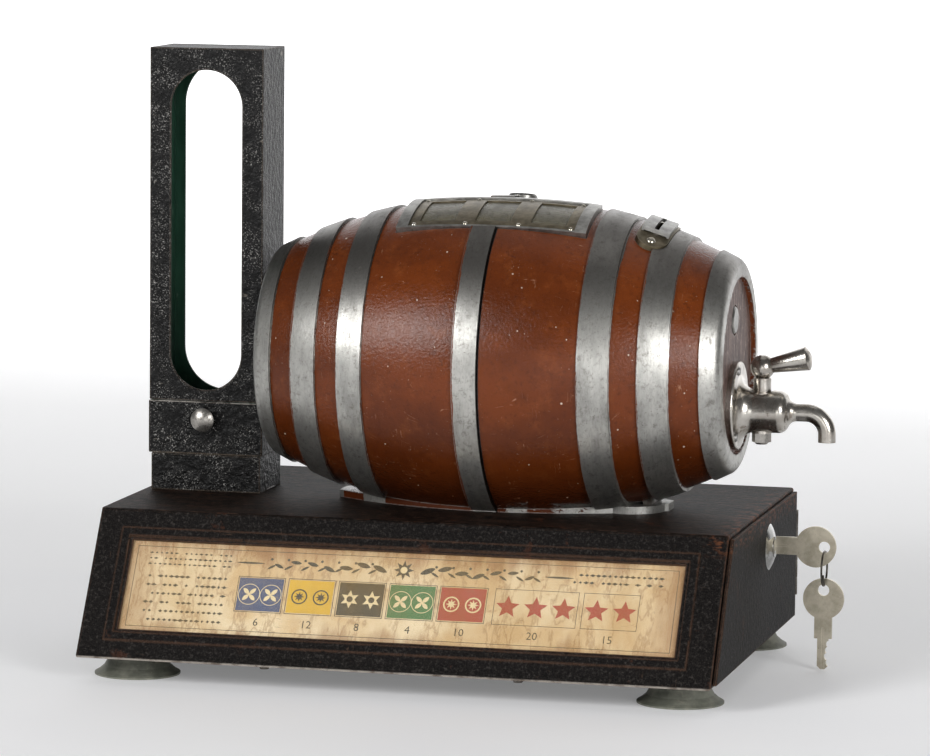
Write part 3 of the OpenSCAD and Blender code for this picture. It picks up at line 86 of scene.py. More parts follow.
class Bench:
    """Short calls that add nodes to a tree. Each returns the socket that it makes."""

    def __init__(self, tree):
        self.tree = tree

    def node(self, kind, **settings):
        made = self.tree.nodes.new("ShaderNode" + kind)
        for key, value in settings.items():
            setattr(made, key, value)
        return made

    def put(self, socket, value):
        if isinstance(value, bpy.types.NodeSocket):
            self.tree.links.new(value, socket)
        elif value is not None:
            socket.default_value = value

    def mm(self):
        """Place on the object in millimetres."""
        made = self.node("VectorMath", operation="SCALE")
        self.put(made.inputs[0], self.node("TexCoord").outputs["Object"])
        made.inputs["Scale"].default_value = 1 / MM
        return made.outputs[0]

    def place(self, vector, scale=(1, 1, 1), turn=(0, 0, 0), move=(0, 0, 0)):
        made = self.node("Mapping")
        self.put(made.inputs["Vector"], vector)
        made.inputs["Scale"].default_value = scale
        made.inputs["Rotation"].default_value = [math.radians(a) for a in turn]
        made.inputs["Location"].default_value = move
        return made.outputs[0]

    def noise(self, vector, scale, detail=3.0, rough=0.5, warp=0.0, kind="FBM"):
        made = self.node("TexNoise", noise_type=kind)
        self.put(made.inputs["Vector"], vector)
        self.put(made.inputs["Scale"], scale)
        made.inputs["Detail"].default_value = detail
        made.inputs["Roughness"].default_value = rough
        made.inputs["Distortion"].default_value = warp
        return made.outputs[0]

    def cells(self, vector, scale, out="Distance"):
        made = self.node("TexVoronoi", feature="F1")
        self.put(made.inputs["Vector"], vector)
        self.put(made.inputs["Scale"], scale)
        return made.outputs[out]

    def calc(self, op, a, b=None, clamp=False):
        made = self.node("Math", operation=op, use_clamp=clamp)
        self.put(made.inputs[0], a)
        self.put(made.inputs[1], b)
        return made.outputs[0]

    def span(self, value, low, high, out_low=0.0, out_high=1.0, smooth=True):
        """The value carried from low and high to out_low and out_high, held outside them."""
        made = self.node("MapRange", interpolation_type="SMOOTHSTEP" if smooth else "LINEAR")
        self.put(made.inputs["Value"], value)
        for name, v in (("From Min", low), ("From Max", high), ("To Min", out_low), ("To Max", out_high)):
            self.put(made.inputs[name], v)
        return made.outputs[0]

    def between(self, share, a, b):
        """Number between a and b."""
        made = self.node("Mix", data_type="FLOAT")
        self.put(made.inputs[0], share)
        self.put(made.inputs[2], a)
        self.put(made.inputs[3], b)
        return made.outputs[0]

    def tint(self, share, a, b):
        """Colour between a and b."""
        made = self.node("Mix", data_type="RGBA")
        self.put(made.inputs[0], share)
        self.put(made.inputs[6], a)
        self.put(made.inputs[7], b)
        return made.outputs[2]

    def steps(self, value, stops):
        """Grey that jumps to a new level at each stop."""
        made = self.node("ValToRGB")
        ramp = made.color_ramp
        ramp.interpolation = "CONSTANT"
        while len(ramp.elements) < len(stops):
            ramp.elements.new(0.5)
        for element, (place, level) in zip(ramp.elements, stops):
            element.position = place
            element.color = (level, level, level, 1)
        self.put(made.inputs[0], value)
        return made.outputs[0]

    def axes(self, vector):
        made = self.node("SeparateXYZ")
        self.put(made.inputs[0], vector)
        return made.outputs

    def facing(self):
        """The three parts of the direction that a face points in."""
        return self.axes(self.node("NewGeometry").outputs["True Normal"])

    def bump(self, height, depth, strength=1.0):
        """Normal for a height map whose full height is depth in millimetres."""
        made = self.node("Bump")
        self.put(made.inputs["Height"], height)
        made.inputs["Distance"].default_value = depth * MM
        made.inputs["Strength"].default_value = strength
        return made.outputs[0]

    def use(self, group, **values):
        made = self.node("Group")
        made.node_tree = group
        for name, value in values.items():
            self.put(made.inputs[name.replace("_", " ")], value)
        return made.outputs


def shared(name, inputs, outputs, build):
    """A shader node group with named inputs and masks or heights as outputs, built once."""
    tree = bpy.data.node_groups.new(name, "ShaderNodeTree")
    for label, value in inputs.items():
        vector = label == "Place"
        socket = tree.interface.new_socket(label, in_out="INPUT",
                                           socket_type="NodeSocketVector" if vector else "NodeSocketFloat")
        if not vector:
            socket.default_value = value
    for label in outputs:
        tree.interface.new_socket(label, in_out="OUTPUT", socket_type="NodeSocketFloat")
    bench = Bench(tree)
    into, out = tree.nodes.new("NodeGroupInput"), tree.nodes.new("NodeGroupOutput")
    for label, socket in build(bench, into.outputs).items():
        tree.links.new(socket, out.inputs[label])
    return tree


def edge_wear_nodes(b, given):
    rounded = b.node("Bevel", samples=4)
    b.put(rounded.inputs["Radius"], b.calc("MULTIPLY", given["Reach"], MM))
    dot = b.node("VectorMath", operation="DOT_PRODUCT")
    b.put(dot.inputs[0], rounded.outputs[0])
    b.put(dot.inputs[1], b.node("NewGeometry").outputs["Normal"])
    corner = b.span(dot.outputs["Value"], 0.998, 0.93)
    rag = b.noise(given["Place"], given["Grain"], 5, 0.65)
    ragged = b.calc("ADD", corner, b.span(rag, 0.3, 0.7, -0.45, 0.45, smooth=False))
    level = b.calc("SUBTRACT", 1.0, given["Amount"])
    return {"Mask": b.calc("MULTIPLY", b.span(ragged, level, b.calc("ADD", level, 0.18)),
                           b.span(corner, 0.02, 0.2))}


def scratch_nodes(b, given):
    masks = []
    for turn, move, size in (((12, 20, 35), (3, 7, 1), (0.05, 0.9, 0.05)),
                             ((70, -25, -50), (31, 4, 9), (0.9, 0.06, 0.05))):
        lines = b.noise(b.place(given["Place"], size, turn, move), given["Density"], 2, 0.45)
        off_line = b.calc("ABSOLUTE", b.calc("SUBTRACT", lines, 0.5))
        thin = b.span(off_line, b.calc("MULTIPLY", given["Width"], 0.01), 0.0)
        patch = b.span(b.noise(b.place(given["Place"], (1, 1, 1), turn, move), 0.09, 3, 0.6), 0.6, 0.66)
        masks.append(b.calc("MULTIPLY", thin, patch))
    return {"Mask": b.calc("MULTIPLY", b.calc("MAXIMUM", *masks), given["Amount"], clamp=True)}


def pit_nodes(b, given):
    size = b.axes(b.cells(given["Place"], given["Density"], out="Color"))[0]
    radius = b.span(size, b.calc("SUBTRACT", 1.0, given["Share"]), 1.0, 0.0, 0.34, smooth=False)
    gate = b.span(b.noise(given["Place"], 0.3, 2), 0.35, 0.6)
    inside = b.calc("SUBTRACT", b.calc("MULTIPLY", radius, gate), b.cells(given["Place"], given["Density"]))
    return {"Mask": b.span(inside, 0.0, 0.05)}


def grime_nodes(b, given):
    large = b.noise(given["Place"], given["Size"], 5, 0.62, 0.6)
    fine = b.noise(given["Place"], b.calc("MULTIPLY", given["Size"], 9.0), 4, 0.7)
    both = b.calc("ADD", b.calc("MULTIPLY", large, 0.72), b.calc("MULTIPLY", fine, 0.28))
    return {"Mask": b.span(both, b.calc("SUBTRACT", 0.62, given["Amount"]), 0.66)}


def crinkle_nodes(b, given):
    place = given["Place"]
    ridges = b.noise(place, given["Grain"], 5, 0.55, 0.9, "RIDGED_MULTIFRACTAL")
    lumps = b.noise(place, b.calc("MULTIPLY", given["Grain"], 0.45), 3, 0.5)
    height = b.calc("ADD", b.calc("MULTIPLY", ridges, 0.45), lumps)
    glint = b.span(b.noise(place, b.calc("MULTIPLY", given["Grain"], 1.7), 4, 0.7), 0.56, 0.64)
    return {"Height": height, "Glint": glint}


EDGE_WEAR = shared("Edge wear", {"Place": None, "Reach": 1.5, "Amount": 0.5, "Grain": 0.5},
                   ["Mask"], edge_wear_nodes)
SCRATCHES = shared("Scratches", {"Place": None, "Density": 1.0, "Width": 1.0, "Amount": 0.6},
                   ["Mask"], scratch_nodes)
PITS = shared("Pits", {"Place": None, "Density": 1.0, "Share": 0.3}, ["Mask"], pit_nodes)
GRIME = shared("Grime", {"Place": None, "Size": 0.05, "Amount": 0.1}, ["Mask"], grime_nodes)
CRINKLE = shared("Crinkled paint", {"Place": None, "Grain": 0.8}, ["Height", "Glint"], crinkle_nodes)


def finish(name, build, **constant):
    """A material whose build(bench, place) gives its changing values by socket name."""
    made = bpy.data.materials.new(name)
    made.use_nodes = True
    tree = made.node_tree
    tree.nodes.clear()
    b = Bench(tree)
    shader = b.node("BsdfPrincipled")
    tree.links.new(shader.outputs[0], b.node("OutputMaterial").inputs["Surface"])
    for key, value in constant.items():
        shader.inputs[key.replace("_", " ")].default_value = value
    for key, value in build(b, b.mm()).items():
        b.put(shader.inputs[key], value)
    return made


# Finishes

def black_wrinkle(b, p):
    x, _, z = b.axes(p)
    up = b.span(b.facing()[2], 0.7, 0.95)
    streak = b.noise(b.place(p, (0.22, 1, 1)), 0.12, 5, 0.65, 0.8)
    fine = b.noise(p, 1.6, 5, 0.7)
    grain = b.use(CRINKLE, Place=p, Grain=0.8)
    # Grey flecks and lighter mottling in the black, partly the paint's own tone and partly painted
    # highlights on the crinkle.
    dark = b.tint(b.span(fine, 0.4, 0.75), paint(6, 5, 5), paint(36, 33, 31))
    mottle = b.span(b.noise(p, 0.55, 6, 0.8), 0.5, 0.68)
    dark = b.tint(b.calc("MULTIPLY", mottle, 0.55), dark, paint(70, 66, 63))
    # The top's colours run very dark, partly as painted shade under the keg and tower; its streaks, rust
    # and pale patches are wear.
    top = b.tint(b.span(streak, 0.4, 0.68), paint(3, 2, 2), paint(40, 28, 22))
    rusty = b.span(b.noise(b.place(p, (0.4, 1, 1)), 0.4, 7, 0.8), 0.48, 0.66, 0.0, 0.7)
    top = b.tint(rusty, top, paint(84, 64, 52))
    top = b.tint(b.span(b.noise(p, 0.8, 3, 0.6), 0.66, 0.72, 0.0, 0.7), top, paint(120, 104, 92))
    colour = b.tint(b.calc("MULTIPLY", up, 0.85), dark, top)
    rust = b.use(GRIME, Place=p, Size=0.05, Amount=0.02)["Mask"]
    colour = b.tint(b.calc("MULTIPLY", rust, b.between(up, 0.3, 0.5)), colour, paint(84, 50, 34))
    worn = b.use(EDGE_WEAR, Place=p, Reach=1.6, Amount=0.4, Grain=0.3)["Mask"]
    colour = b.tint(b.calc("MULTIPLY", worn, 0.55), colour, paint(98, 72, 56))
    upper = b.span(z, BASE_TOP - 13.5, BASE_TOP - 3.5)
    end = b.calc("MULTIPLY", b.span(x, BASE_RIGHT - 16, BASE_RIGHT - 2), upper)
    rub = b.span(b.noise(b.place(p, (0.3, 0.3, 1)), 0.5, 5, 0.7), 0.5, 0.6)
    colour = b.tint(b.calc("MULTIPLY", b.calc("MULTIPLY", end, rub), 0.55), colour, paint(112, 68, 44))
    scratch = b.use(SCRATCHES, Place=p, Density=0.5, Width=0.5, Amount=0.32)["Mask"]
    colour = b.tint(scratch, colour, paint(112, 88, 72))
    lip = b.span(z, BASE_LOW + 1.3, BASE_LOW + 0.6)
    chipped = b.span(b.noise(p, 0.2, 4), 0.3, 0.6, 0.25, 0.8)
    colour = b.tint(b.calc("MULTIPLY", lip, chipped), colour, paint(150, 144, 136))
    return {"Base Color": colour, "Roughness": b.between(worn, b.span(fine, 0.2, 0.8, 0.5, 0.68), 0.62),
            "Normal": b.bump(grain["Height"], 0.5, 1.0)}


def crackle(b, p):
    grain = b.use(CRINKLE, Place=p, Grain=0.65)
    fine = b.noise(p, 2.2, 4, 0.7)
    colour = b.tint(b.span(fine, 0.35, 0.8), paint(3, 3, 3), paint(17, 16, 16))
    worn = b.use(EDGE_WEAR, Place=p, Reach=1.2, Amount=0.36, Grain=0.4)["Mask"]
    colour = b.tint(b.calc("MULTIPLY", worn, 0.6), colour, paint(104, 92, 80))
    # Painted glints: pale flecks in the colour where the crinkle's glint mask is high, for light caught on
    # the paint's ridges.
    painted_glints = b.calc("MULTIPLY", grain["Glint"], b.span(b.noise(p, 0.09, 4, 0.6), 0.38, 0.6))
    colour = b.tint(b.calc("MULTIPLY", painted_glints, 0.8), colour, paint(150, 148, 144))
    # Painted highlight: a pale broken line along the drawer's top edge, where the edge of its front plate
    # catches the light.
    joint = b.calc("SUBTRACT", b.axes(p)[2], DRAWER_TOP)
    lip = b.span(b.calc("ABSOLUTE", joint), 0.7, 0.4)
    lip = b.calc("MULTIPLY", lip, b.span(b.noise(p, 0.15, 4), 0.36, 0.5))
    colour = b.tint(b.calc("MULTIPLY", lip, 0.7), colour, paint(150, 146, 140))
    scuff = b.span(b.noise(b.place(p, (0.35, 0.35, 0.8)), 0.24, 5, 0.72), 0.66, 0.7)
    colour = b.tint(b.calc("MULTIPLY", scuff, 0.45), colour, paint(120, 112, 102))
    return {"Base Color": colour, "Roughness": b.span(fine, 0.2, 0.8, 0.3, 0.5),
            "Normal": b.bump(grain["Height"], 1.1, 1.0)}


def hoop_stops():
    """Stops along the keg that turn to 1 where a hoop starts and to 0 where it ends."""
    stops = [(0.0, 1.0)]
    for (_, end), (start, _) in zip(HOOPS, HOOPS[1:]):
        stops.append(((end + HOOP_REACH) / (2 * HOOP_REACH), 0.0))
        stops.append(((start + HOOP_REACH) / (2 * HOOP_REACH), 1.0))
    return stops


def keg_regions(b, p):
    """Shares of bare metal, head and seam, and the height over the keg's axis."""
    x, y, z = b.axes(p)
    along, out_y, out_z = [b.calc("SUBTRACT", place, middle) for place, middle in zip((x, y, z), KEG)]
    wobble = b.calc("ADD", b.span(b.noise(p, 0.05, 3), 0, 1, -0.9, 0.9, smooth=False),
                    b.span(b.noise(p, 0.7, 3), 0, 1, -0.45, 0.45, smooth=False))
    edge = b.span(b.calc("ADD", along, wobble), -HOOP_REACH, HOOP_REACH, smooth=False)
    hoop = b.steps(edge, hoop_stops())
    squares = [b.calc("MULTIPLY", out, out) for out in (out_y, out_z)]
    radius = b.calc("SQRT", b.calc("ADD", *squares))
    rag = b.span(b.noise(p, 0.35, 5, 0.7), 0.25, 0.75, -1.6, 1.6, smooth=False)
    ragged = b.calc("ADD", radius, rag)
    outer = b.span(b.calc("ABSOLUTE", along), HEAD_IN - 1, HEAD_IN)
    recess = b.calc("MULTIPLY", b.span(ragged, HEAD_OPEN + 0.5, HEAD_OPEN - 0.3), outer)
    flat = b.span(b.calc("ABSOLUTE", b.facing()[0]), 0.85, 0.95)
    head = b.calc("MULTIPLY", b.span(radius, HEAD_OPEN + 0.3, HEAD_OPEN), outer)
    foot = b.span(z, FOOT_TOP, FOOT_TOP - 2.2)
    kept = b.span(along, -60.0, 75.0, 0.8, 0.34, smooth=False)
    chip = b.span(b.calc("SUBTRACT", b.noise(p, 0.09, 6, 0.7, 0.6), kept), 0.0, 0.03)
    hoop = b.calc("MULTIPLY", hoop, b.between(recess, 1.0, 0.0))
    bare = b.calc("MAXIMUM", hoop, b.calc("MULTIPLY", foot, chip))
    joint = b.calc("ADD", along, b.calc("MULTIPLY", wobble, 0.3))
    seam = b.calc("MULTIPLY", b.span(joint, SEAM + 1.0, SEAM + 0.6), b.span(along, SEAM - 0.6, SEAM - 0.2))
    return bare, b.calc("MULTIPLY", head, flat), seam, out_z


def brown_enamel(b, p, out_z):
    """Colour of the keg's enamel with painted shade on its underside, and its nicks."""
    brown = b.tint(b.span(b.noise(p, 0.016, 4, 0.6), 0.35, 0.7), paint(100, 46, 14), paint(78, 34, 10))
    pale = b.span(b.noise(p, 0.1, 6, 0.66), 0.5, 0.75, 0.0, 0.4)
    brown = b.tint(pale, brown, paint(124, 66, 30))
    dark = b.span(b.noise(p, 0.3, 7, 0.8), 0.5, 0.68, 0.0, 0.5)
    brown = b.tint(dark, brown, paint(58, 26, 9))
    # Painted shade: the enamel turns darker towards the keg's underside.
    brown = b.tint(b.calc("MULTIPLY", b.span(out_z, -10.0, -70.0), 0.7), brown, paint(50, 19, 5))
    smudge = b.use(GRIME, Place=p, Size=0.05, Amount=-0.02)["Mask"]
    brown = b.tint(b.calc("MULTIPLY", smudge, 0.45), brown, paint(52, 24, 12))
    scratch = b.use(SCRATCHES, Place=p, Density=0.5, Width=0.45, Amount=0.6)["Mask"]
    brown = b.tint(scratch, brown, paint(170, 128, 100))
    spots = b.span(b.noise(p, 1.1, 3, 0.6), 0.7, 0.74)
    spots = b.calc("MULTIPLY", spots, b.span(b.noise(p, 0.05, 3), 0.48, 0.6))
    nick = b.calc("MAXIMUM", b.use(PITS, Place=p, Density=0.5, Share=0.05)["Mask"], spots)
    return b.tint(b.calc("MULTIPLY", nick, 0.8), brown, paint(206, 190, 172)), nick


def bare_casting(b, p, out_z):
    """Colour of the hoops' bare metal with painted shade on their tops, its wear and its pits."""
    wear = b.noise(b.place(p, (1, 0.35, 0.35)), 0.09, 5, 0.65)
    metal = b.tint(b.span(wear, 0.3, 0.7), paint(192, 191, 186), paint(150, 149, 145))
    brushed = b.span(b.noise(b.place(p, (1, 0.3, 0.3)), 1.1, 4, 0.7), 0.46, 0.8, 0.0, 0.5)
    metal = b.tint(brushed, metal, paint(104, 101, 97))
    soot = b.span(b.noise(p, 0.26, 7, 0.78), 0.5, 0.68)
    metal = b.tint(b.calc("MULTIPLY", soot, 0.6), metal, paint(88, 82, 75))
    # Painted shade: the bare hoops turn darker towards the top of the keg.
    metal = b.tint(b.calc("MULTIPLY", b.span(out_z, 20.0, 60.0), 0.75), metal, paint(84, 80, 76))
    pit = b.calc("MAXIMUM", b.use(PITS, Place=p, Density=1.3, Share=0.34)["Mask"],
                 b.span(b.noise(p, 2.4, 2, 0.6), 0.68, 0.74))
    metal = b.tint(b.calc("MULTIPLY", pit, 0.7), metal, paint(60, 52, 45))
    return metal, b.calc("ADD", wear, b.calc("MULTIPLY", soot, 0.3)), pit


def head_patina(b, p):
    streak = b.noise(b.place(p, (1, 1, 0.22)), 0.28, 5, 0.65, 0.5)
    patina = b.tint(b.span(streak, 0.35, 0.7), paint(58, 38, 32), paint(112, 90, 82))
    patina = b.tint(b.use(GRIME, Place=p, Size=0.12, Amount=0.05)["Mask"], patina, paint(62, 38, 29))
    chalk = b.span(b.noise(b.place(p, (1, 1, 0.5)), 0.5, 5, 0.75), 0.56, 0.66, 0.0, 0.8)
    return b.tint(chalk, patina, paint(176, 156, 148))


def keg_coat(b, p):
    bare, head, seam, out_z = keg_regions(b, p)
    brown, nick = brown_enamel(b, p, out_z)
    metal, wear, pit = bare_casting(b, p, out_z)
    fine = b.noise(p, 0.62, 5, 0.62)
    colour = b.tint(head, brown, head_patina(b, p))
    worn = b.use(EDGE_WEAR, Place=p, Reach=0.9, Amount=0.3, Grain=0.5)["Mask"]
    bare = b.calc("MAXIMUM", bare, b.calc("MULTIPLY", worn, 0.75))
    colour = b.tint(bare, colour, metal)
    colour = b.tint(seam, colour, paint(16, 12, 10))
    bare = b.calc("MULTIPLY", bare, b.calc("SUBTRACT", 1.0, seam))
    coated = b.calc("SUBTRACT", 1.0, bare)
    gloss = b.between(head, b.span(fine, 0.2, 0.8, 0.15, 0.28), 0.5)
    rough = b.between(bare, gloss, b.span(wear, 0.2, 1.0, 0.3, 0.5))
    dents = b.calc("ADD", b.calc("MULTIPLY", pit, b.calc("MULTIPLY", bare, 0.7)),
                   b.calc("MULTIPLY", nick, b.calc("MULTIPLY", coated, 0.5)))
    height = b.calc("SUBTRACT", b.calc("MULTIPLY", fine, b.between(bare, 1.5, 0.6)), dents)
    height = b.calc("MULTIPLY", height, b.between(bare, 1.7, 1.2))
    return {"Base Color": colour, "Roughness": rough, "Metallic": b.calc("MULTIPLY", bare, 0.92),
            "Normal": b.bump(height, 0.16, 0.66)}


def cast_metal(tone, dark, rough_low, rough_high, pits=0.3, density=0.9, patch=0.0):
    """Metal between two tones, with a share of pits so many to the millimetre, and darker patches."""
    def build(b, p):
        wear = b.noise(p, 0.14, 4, 0.6)
        metal = b.tint(b.span(wear, 0.3, 0.7), paint(*tone), paint(*dark))
        stain = b.span(b.noise(p, 0.4, 5, 0.7), 0.5, 0.66)
        metal = b.tint(b.calc("MULTIPLY", stain, patch), metal, paint(*[c * 0.5 for c in dark]))
        pit = b.use(PITS, Place=p, Density=density, Share=pits)["Mask"]
        metal = b.tint(b.calc("MULTIPLY", pit, 0.75), metal, paint(54, 50, 46))
        worn = b.use(EDGE_WEAR, Place=p, Reach=0.5, Amount=0.4, Grain=1.0)["Mask"]
        metal = b.tint(b.calc("MULTIPLY", worn, 0.35), metal, paint(*[c + 30 for c in tone]))
        fine = b.noise(p, 1.4, 4, 0.6)
        height = b.calc("SUBTRACT", b.calc("MULTIPLY", fine, 0.3), b.calc("MULTIPLY", pit, 0.5))
        return {"Base Color": metal, "Roughness": b.span(fine, 0.2, 0.8, rough_low, rough_high),
                "Normal": b.bump(height, 0.12, 0.5)}
    return build


def nickel(b, p):
    wear = b.noise(p, 0.2, 5, 0.65, 0.4)
    tarnish = b.calc("MULTIPLY", b.span(wear, 0.55, 0.68), 0.6)
    corners = b.use(EDGE_WEAR, Place=p, Reach=2.0, Amount=0.4, Grain=0.5)["Mask"]
    tarnish = b.calc("MAXIMUM", tarnish, b.calc("MULTIPLY", corners, 0.35))
    metal = b.tint(tarnish, paint(198, 194, 187), paint(104, 90, 74))
    cloud = b.span(b.noise(p, 0.09, 5, 0.65), 0.35, 0.65, 0.0, 0.5)
    metal = b.tint(cloud, metal, paint(120, 110, 99))
    pit = b.use(PITS, Place=p, Density=1.3, Share=0.12)["Mask"]
    metal = b.tint(pit, metal, paint(50, 46, 40))
    scratch = b.use(SCRATCHES, Place=p, Density=1.5, Width=0.8, Amount=0.35)["Mask"]
    rough = b.calc("ADD", b.between(tarnish, 0.24, 0.42), b.calc("MULTIPLY", scratch, 0.2))
    return {"Base Color": metal, "Roughness": rough,
            "Normal": b.bump(b.calc("SUBTRACT", b.noise(p, 0.7, 2), pit), 0.05, 0.35)}


def plain_steel(b, p):
    wear = b.noise(p, 0.2, 5, 0.65)
    metal = b.tint(b.span(wear, 0.35, 0.7), paint(112, 108, 102), paint(72, 66, 60))
    rust = b.use(GRIME, Place=p, Size=0.12, Amount=0.02)["Mask"]
    metal = b.tint(b.calc("MULTIPLY", rust, 0.6), metal, paint(92, 60, 40))
    return {"Base Color": metal, "Roughness": b.span(wear, 0.3, 0.7, 0.35, 0.55),
            "Metallic": b.between(rust, 0.9, 0.3),
            "Normal": b.bump(b.noise(p, 1.5, 4), 0.05, 0.4)}


def rubber(b, p):
    wear = b.noise(p, 0.12, 5, 0.6)
    tone = b.tint(b.span(wear, 0.35, 0.7), paint(92, 94, 84), paint(124, 124, 112))
    dust = b.use(GRIME, Place=p, Size=0.2, Amount=0.05)["Mask"]
    tone = b.tint(b.calc("MULTIPLY", dust, 0.5), tone, paint(152, 148, 134))
    return {"Base Color": tone, "Roughness": b.span(wear, 0.3, 0.7, 0.55, 0.75),
            "Normal": b.bump(b.noise(p, 1.2, 4), 0.12, 0.5)}


def green_paint(b, p):
    wear = b.noise(b.place(p, (1, 1, 0.2)), 0.2, 4, 0.6)
    tone = b.tint(b.span(wear, 0.35, 0.7), paint(12, 50, 34), paint(22, 66, 47))
    rub = b.use(SCRATCHES, Place=p, Density=0.6, Width=0.8, Amount=0.5)["Mask"]
    tone = b.tint(rub, tone, paint(90, 110, 96))
    return {"Base Color": tone, "Roughness": b.span(wear, 0.3, 0.7, 0.28, 0.45),
            "Normal": b.bump(b.noise(p, 1.0, 3), 0.06, 0.4)}


def old_card(b, p):
    x, _, z = b.axes(p)
    up = b.calc("DIVIDE", b.calc("SUBTRACT", z, BASE_LOW), math.sin(SLOPE))
    large = b.noise(p, 0.02, 4, 0.6, 0.8)
    tone = b.tint(b.span(large, 0.35, 0.65), paint(220, 202, 168), paint(198, 168, 124))
    fleck = b.noise(p, 1.5, 4, 0.7)
    tone = b.tint(b.span(fleck, 0.5, 0.8, 0.0, 0.25), tone, paint(184, 150, 108))
    stain = b.use(GRIME, Place=p, Size=0.06, Amount=0.02)["Mask"]
    tone = b.tint(b.calc("MULTIPLY", stain, 0.6), tone, paint(146, 102, 60))
    crease = b.noise(b.place(p, (1, 0.35, 0.35)), 0.09, 5, 0.6)
    line = b.span(b.calc("ABSOLUTE", b.calc("SUBTRACT", crease, 0.5)), 0.035, 0.0, 0.0, 0.45)
    tone = b.tint(line, tone, paint(132, 92, 54))
    wave = b.noise(b.place(p, (1, 0.2, 0.2)), 0.05, 5, 0.62)
    wave = b.span(wave, 0.3, 0.7, -9.0, 9.0, smooth=False)
    height_up = b.calc("ADD", up, wave)
    top = b.span(height_up, CARD_UP + CARD_H - 11, CARD_UP + CARD_H + 3)
    foot = b.span(height_up, CARD_UP + 6, CARD_UP - 4)
    end = b.calc("ADD", x, wave)
    left = b.span(end, CARD_X + 22, CARD_X - 2)
    right = b.span(end, CARD_X + CARD_W - 22, CARD_X + CARD_W)
    rim = b.calc("MAXIMUM", b.calc("MAXIMUM", b.calc("MULTIPLY", top, 0.85), b.calc("MULTIPLY", foot, 0.6)),
                 b.calc("MAXIMUM", b.calc("MULTIPLY", left, 0.7), b.calc("MULTIPLY", right, 0.8)))
    tone = b.tint(rim, tone, paint(134, 86, 44))
    height = b.calc("ADD", b.calc("MULTIPLY", fleck, 0.1), b.noise(b.place(p, (1, 0.3, 0.3)), 0.03, 3))
    return {"Base Color": tone, "Roughness": b.span(fleck, 0.2, 0.8, 0.6, 0.8),
            "Normal": b.bump(height, 0.6, 0.5)}


def printer_ink(tone):
    def build(b, p):
        fade = b.noise(p, 0.3, 5, 0.7)
        lost = b.span(b.noise(p, 1.7, 4, 0.7), 0.6, 0.72)
        faded = paint(*[part * 0.6 + 60 for part in tone])
        colour = b.tint(b.span(fade, 0.4, 0.75, 0.0, 0.35), paint(*tone), faded)
        colour = b.tint(b.calc("MULTIPLY", lost, 0.5), colour, paint(196, 166, 122))
        return {"Base Color": colour, "Roughness": b.span(fade, 0.2, 0.8, 0.6, 0.75)}
    return build


def sheet_celluloid(b, p):
    haze = b.noise(b.place(p, (1, 0.4, 0.4)), 0.03, 4, 0.6)
    scuff = b.use(SCRATCHES, Place=p, Density=0.8, Width=0.6, Amount=0.25)["Mask"]
    return {"Base Color": b.tint(b.span(haze, 0.3, 0.7), paint(240, 228, 196), paint(206, 176, 124)),
            "Alpha": b.calc("ADD", b.span(haze, 0.3, 0.75, 0.05, 0.15), scuff),
            "Roughness": b.span(haze, 0.3, 0.7, 0.1, 0.22)}


def cloudy_pane(b, p):
    haze = b.noise(p, 0.09, 5, 0.62, 0.6)
    return {"Base Color": b.tint(b.span(haze, 0.3, 0.7), paint(120, 114, 94), paint(78, 74, 60)),
            "Alpha": b.span(haze, 0.3, 0.75, 0.5, 0.7),
            "Roughness": b.span(haze, 0.3, 0.7, 0.18, 0.4),
            "Normal": b.bump(b.noise(p, 0.4, 3), 0.08, 0.4)}


def reel_paper(b, p):
    fleck = b.noise(p, 0.5, 5, 0.7)
    tone = b.tint(b.span(fleck, 0.3, 0.7), paint(204, 190, 152), paint(176, 156, 114))
    stain = b.use(GRIME, Place=p, Size=0.08, Amount=0.04)["Mask"]
    tone = b.tint(b.calc("MULTIPLY", stain, 0.5), tone, paint(134, 104, 66))
    return {"Base Color": tone, "Roughness": b.span(fleck, 0.2, 0.8, 0.55, 0.75),
            "Normal": b.bump(fleck, 0.04, 0.3)}


def metal_finish(name, metallic, *values):
    """Finish of cast_metal with these values."""
    return finish(name, cast_metal(*values), Metallic=metallic)


BASE_PAINT = finish("Worn black wrinkle paint", black_wrinkle, Specular_IOR_Level=0.07)
TOWER_PAINT = finish("Black crackle paint", crackle, Specular_IOR_Level=0.16)
KEG_COAT = finish("Brown enamel and bare hoops", keg_coat, Specular_IOR_Level=0.28)
BEZEL_METAL = metal_finish("Dull cast aluminium", 0.92, (160, 159, 155), (118, 116, 112), 0.3, 0.45)
PLATE_METAL = metal_finish("Nickel brass plate", 0.85, (122, 112, 92), (84, 76, 58),
                           0.3, 0.46, 0.3, 0.9, 0.4)
RIVET_METAL = metal_finish("Bright rivets", 0.95, (214, 210, 200), (176, 168, 150), 0.2, 0.32, 0.1)
STRAP_METAL = metal_finish("Hammered grey strap", 0.92, (174, 174, 170), (132, 130, 128), 0.32, 0.48, 0.35)
NICKEL = finish("Polished nickel", nickel, Metallic=1.0)
CHROME = metal_finish("Bright chrome", 1.0, (168, 168, 166), (128, 128, 126), 0.14, 0.24, 0.06, 1.6)
KEY_METAL = metal_finish("Nickel silver keys", 0.95, (198, 190, 172), (170, 162, 144),
                         0.26, 0.4, 0.12, 1.4, 0.1)
KNOB_METAL = metal_finish("Scratched knob", 0.95, (188, 184, 178), (140, 136, 130),
                          0.24, 0.4, 0.25, 1.2, 0.3)
WIRE_METAL = metal_finish("Dark wire", 0.9, (96, 92, 86), (60, 56, 52), 0.3, 0.45, 0.2, 1.2)
STEEL = finish("Aged steel", plain_steel)
BRASS = metal_finish("Dull brass", 0.95, (168, 136, 78), (120, 94, 52), 0.3, 0.45, 0.2)
RUBBER = finish("Grey green rubber", rubber)
LINER_GREEN = finish("Green liner paint", green_paint)
CARD = finish("Aged cream card", old_card, Specular_IOR_Level=0.3)
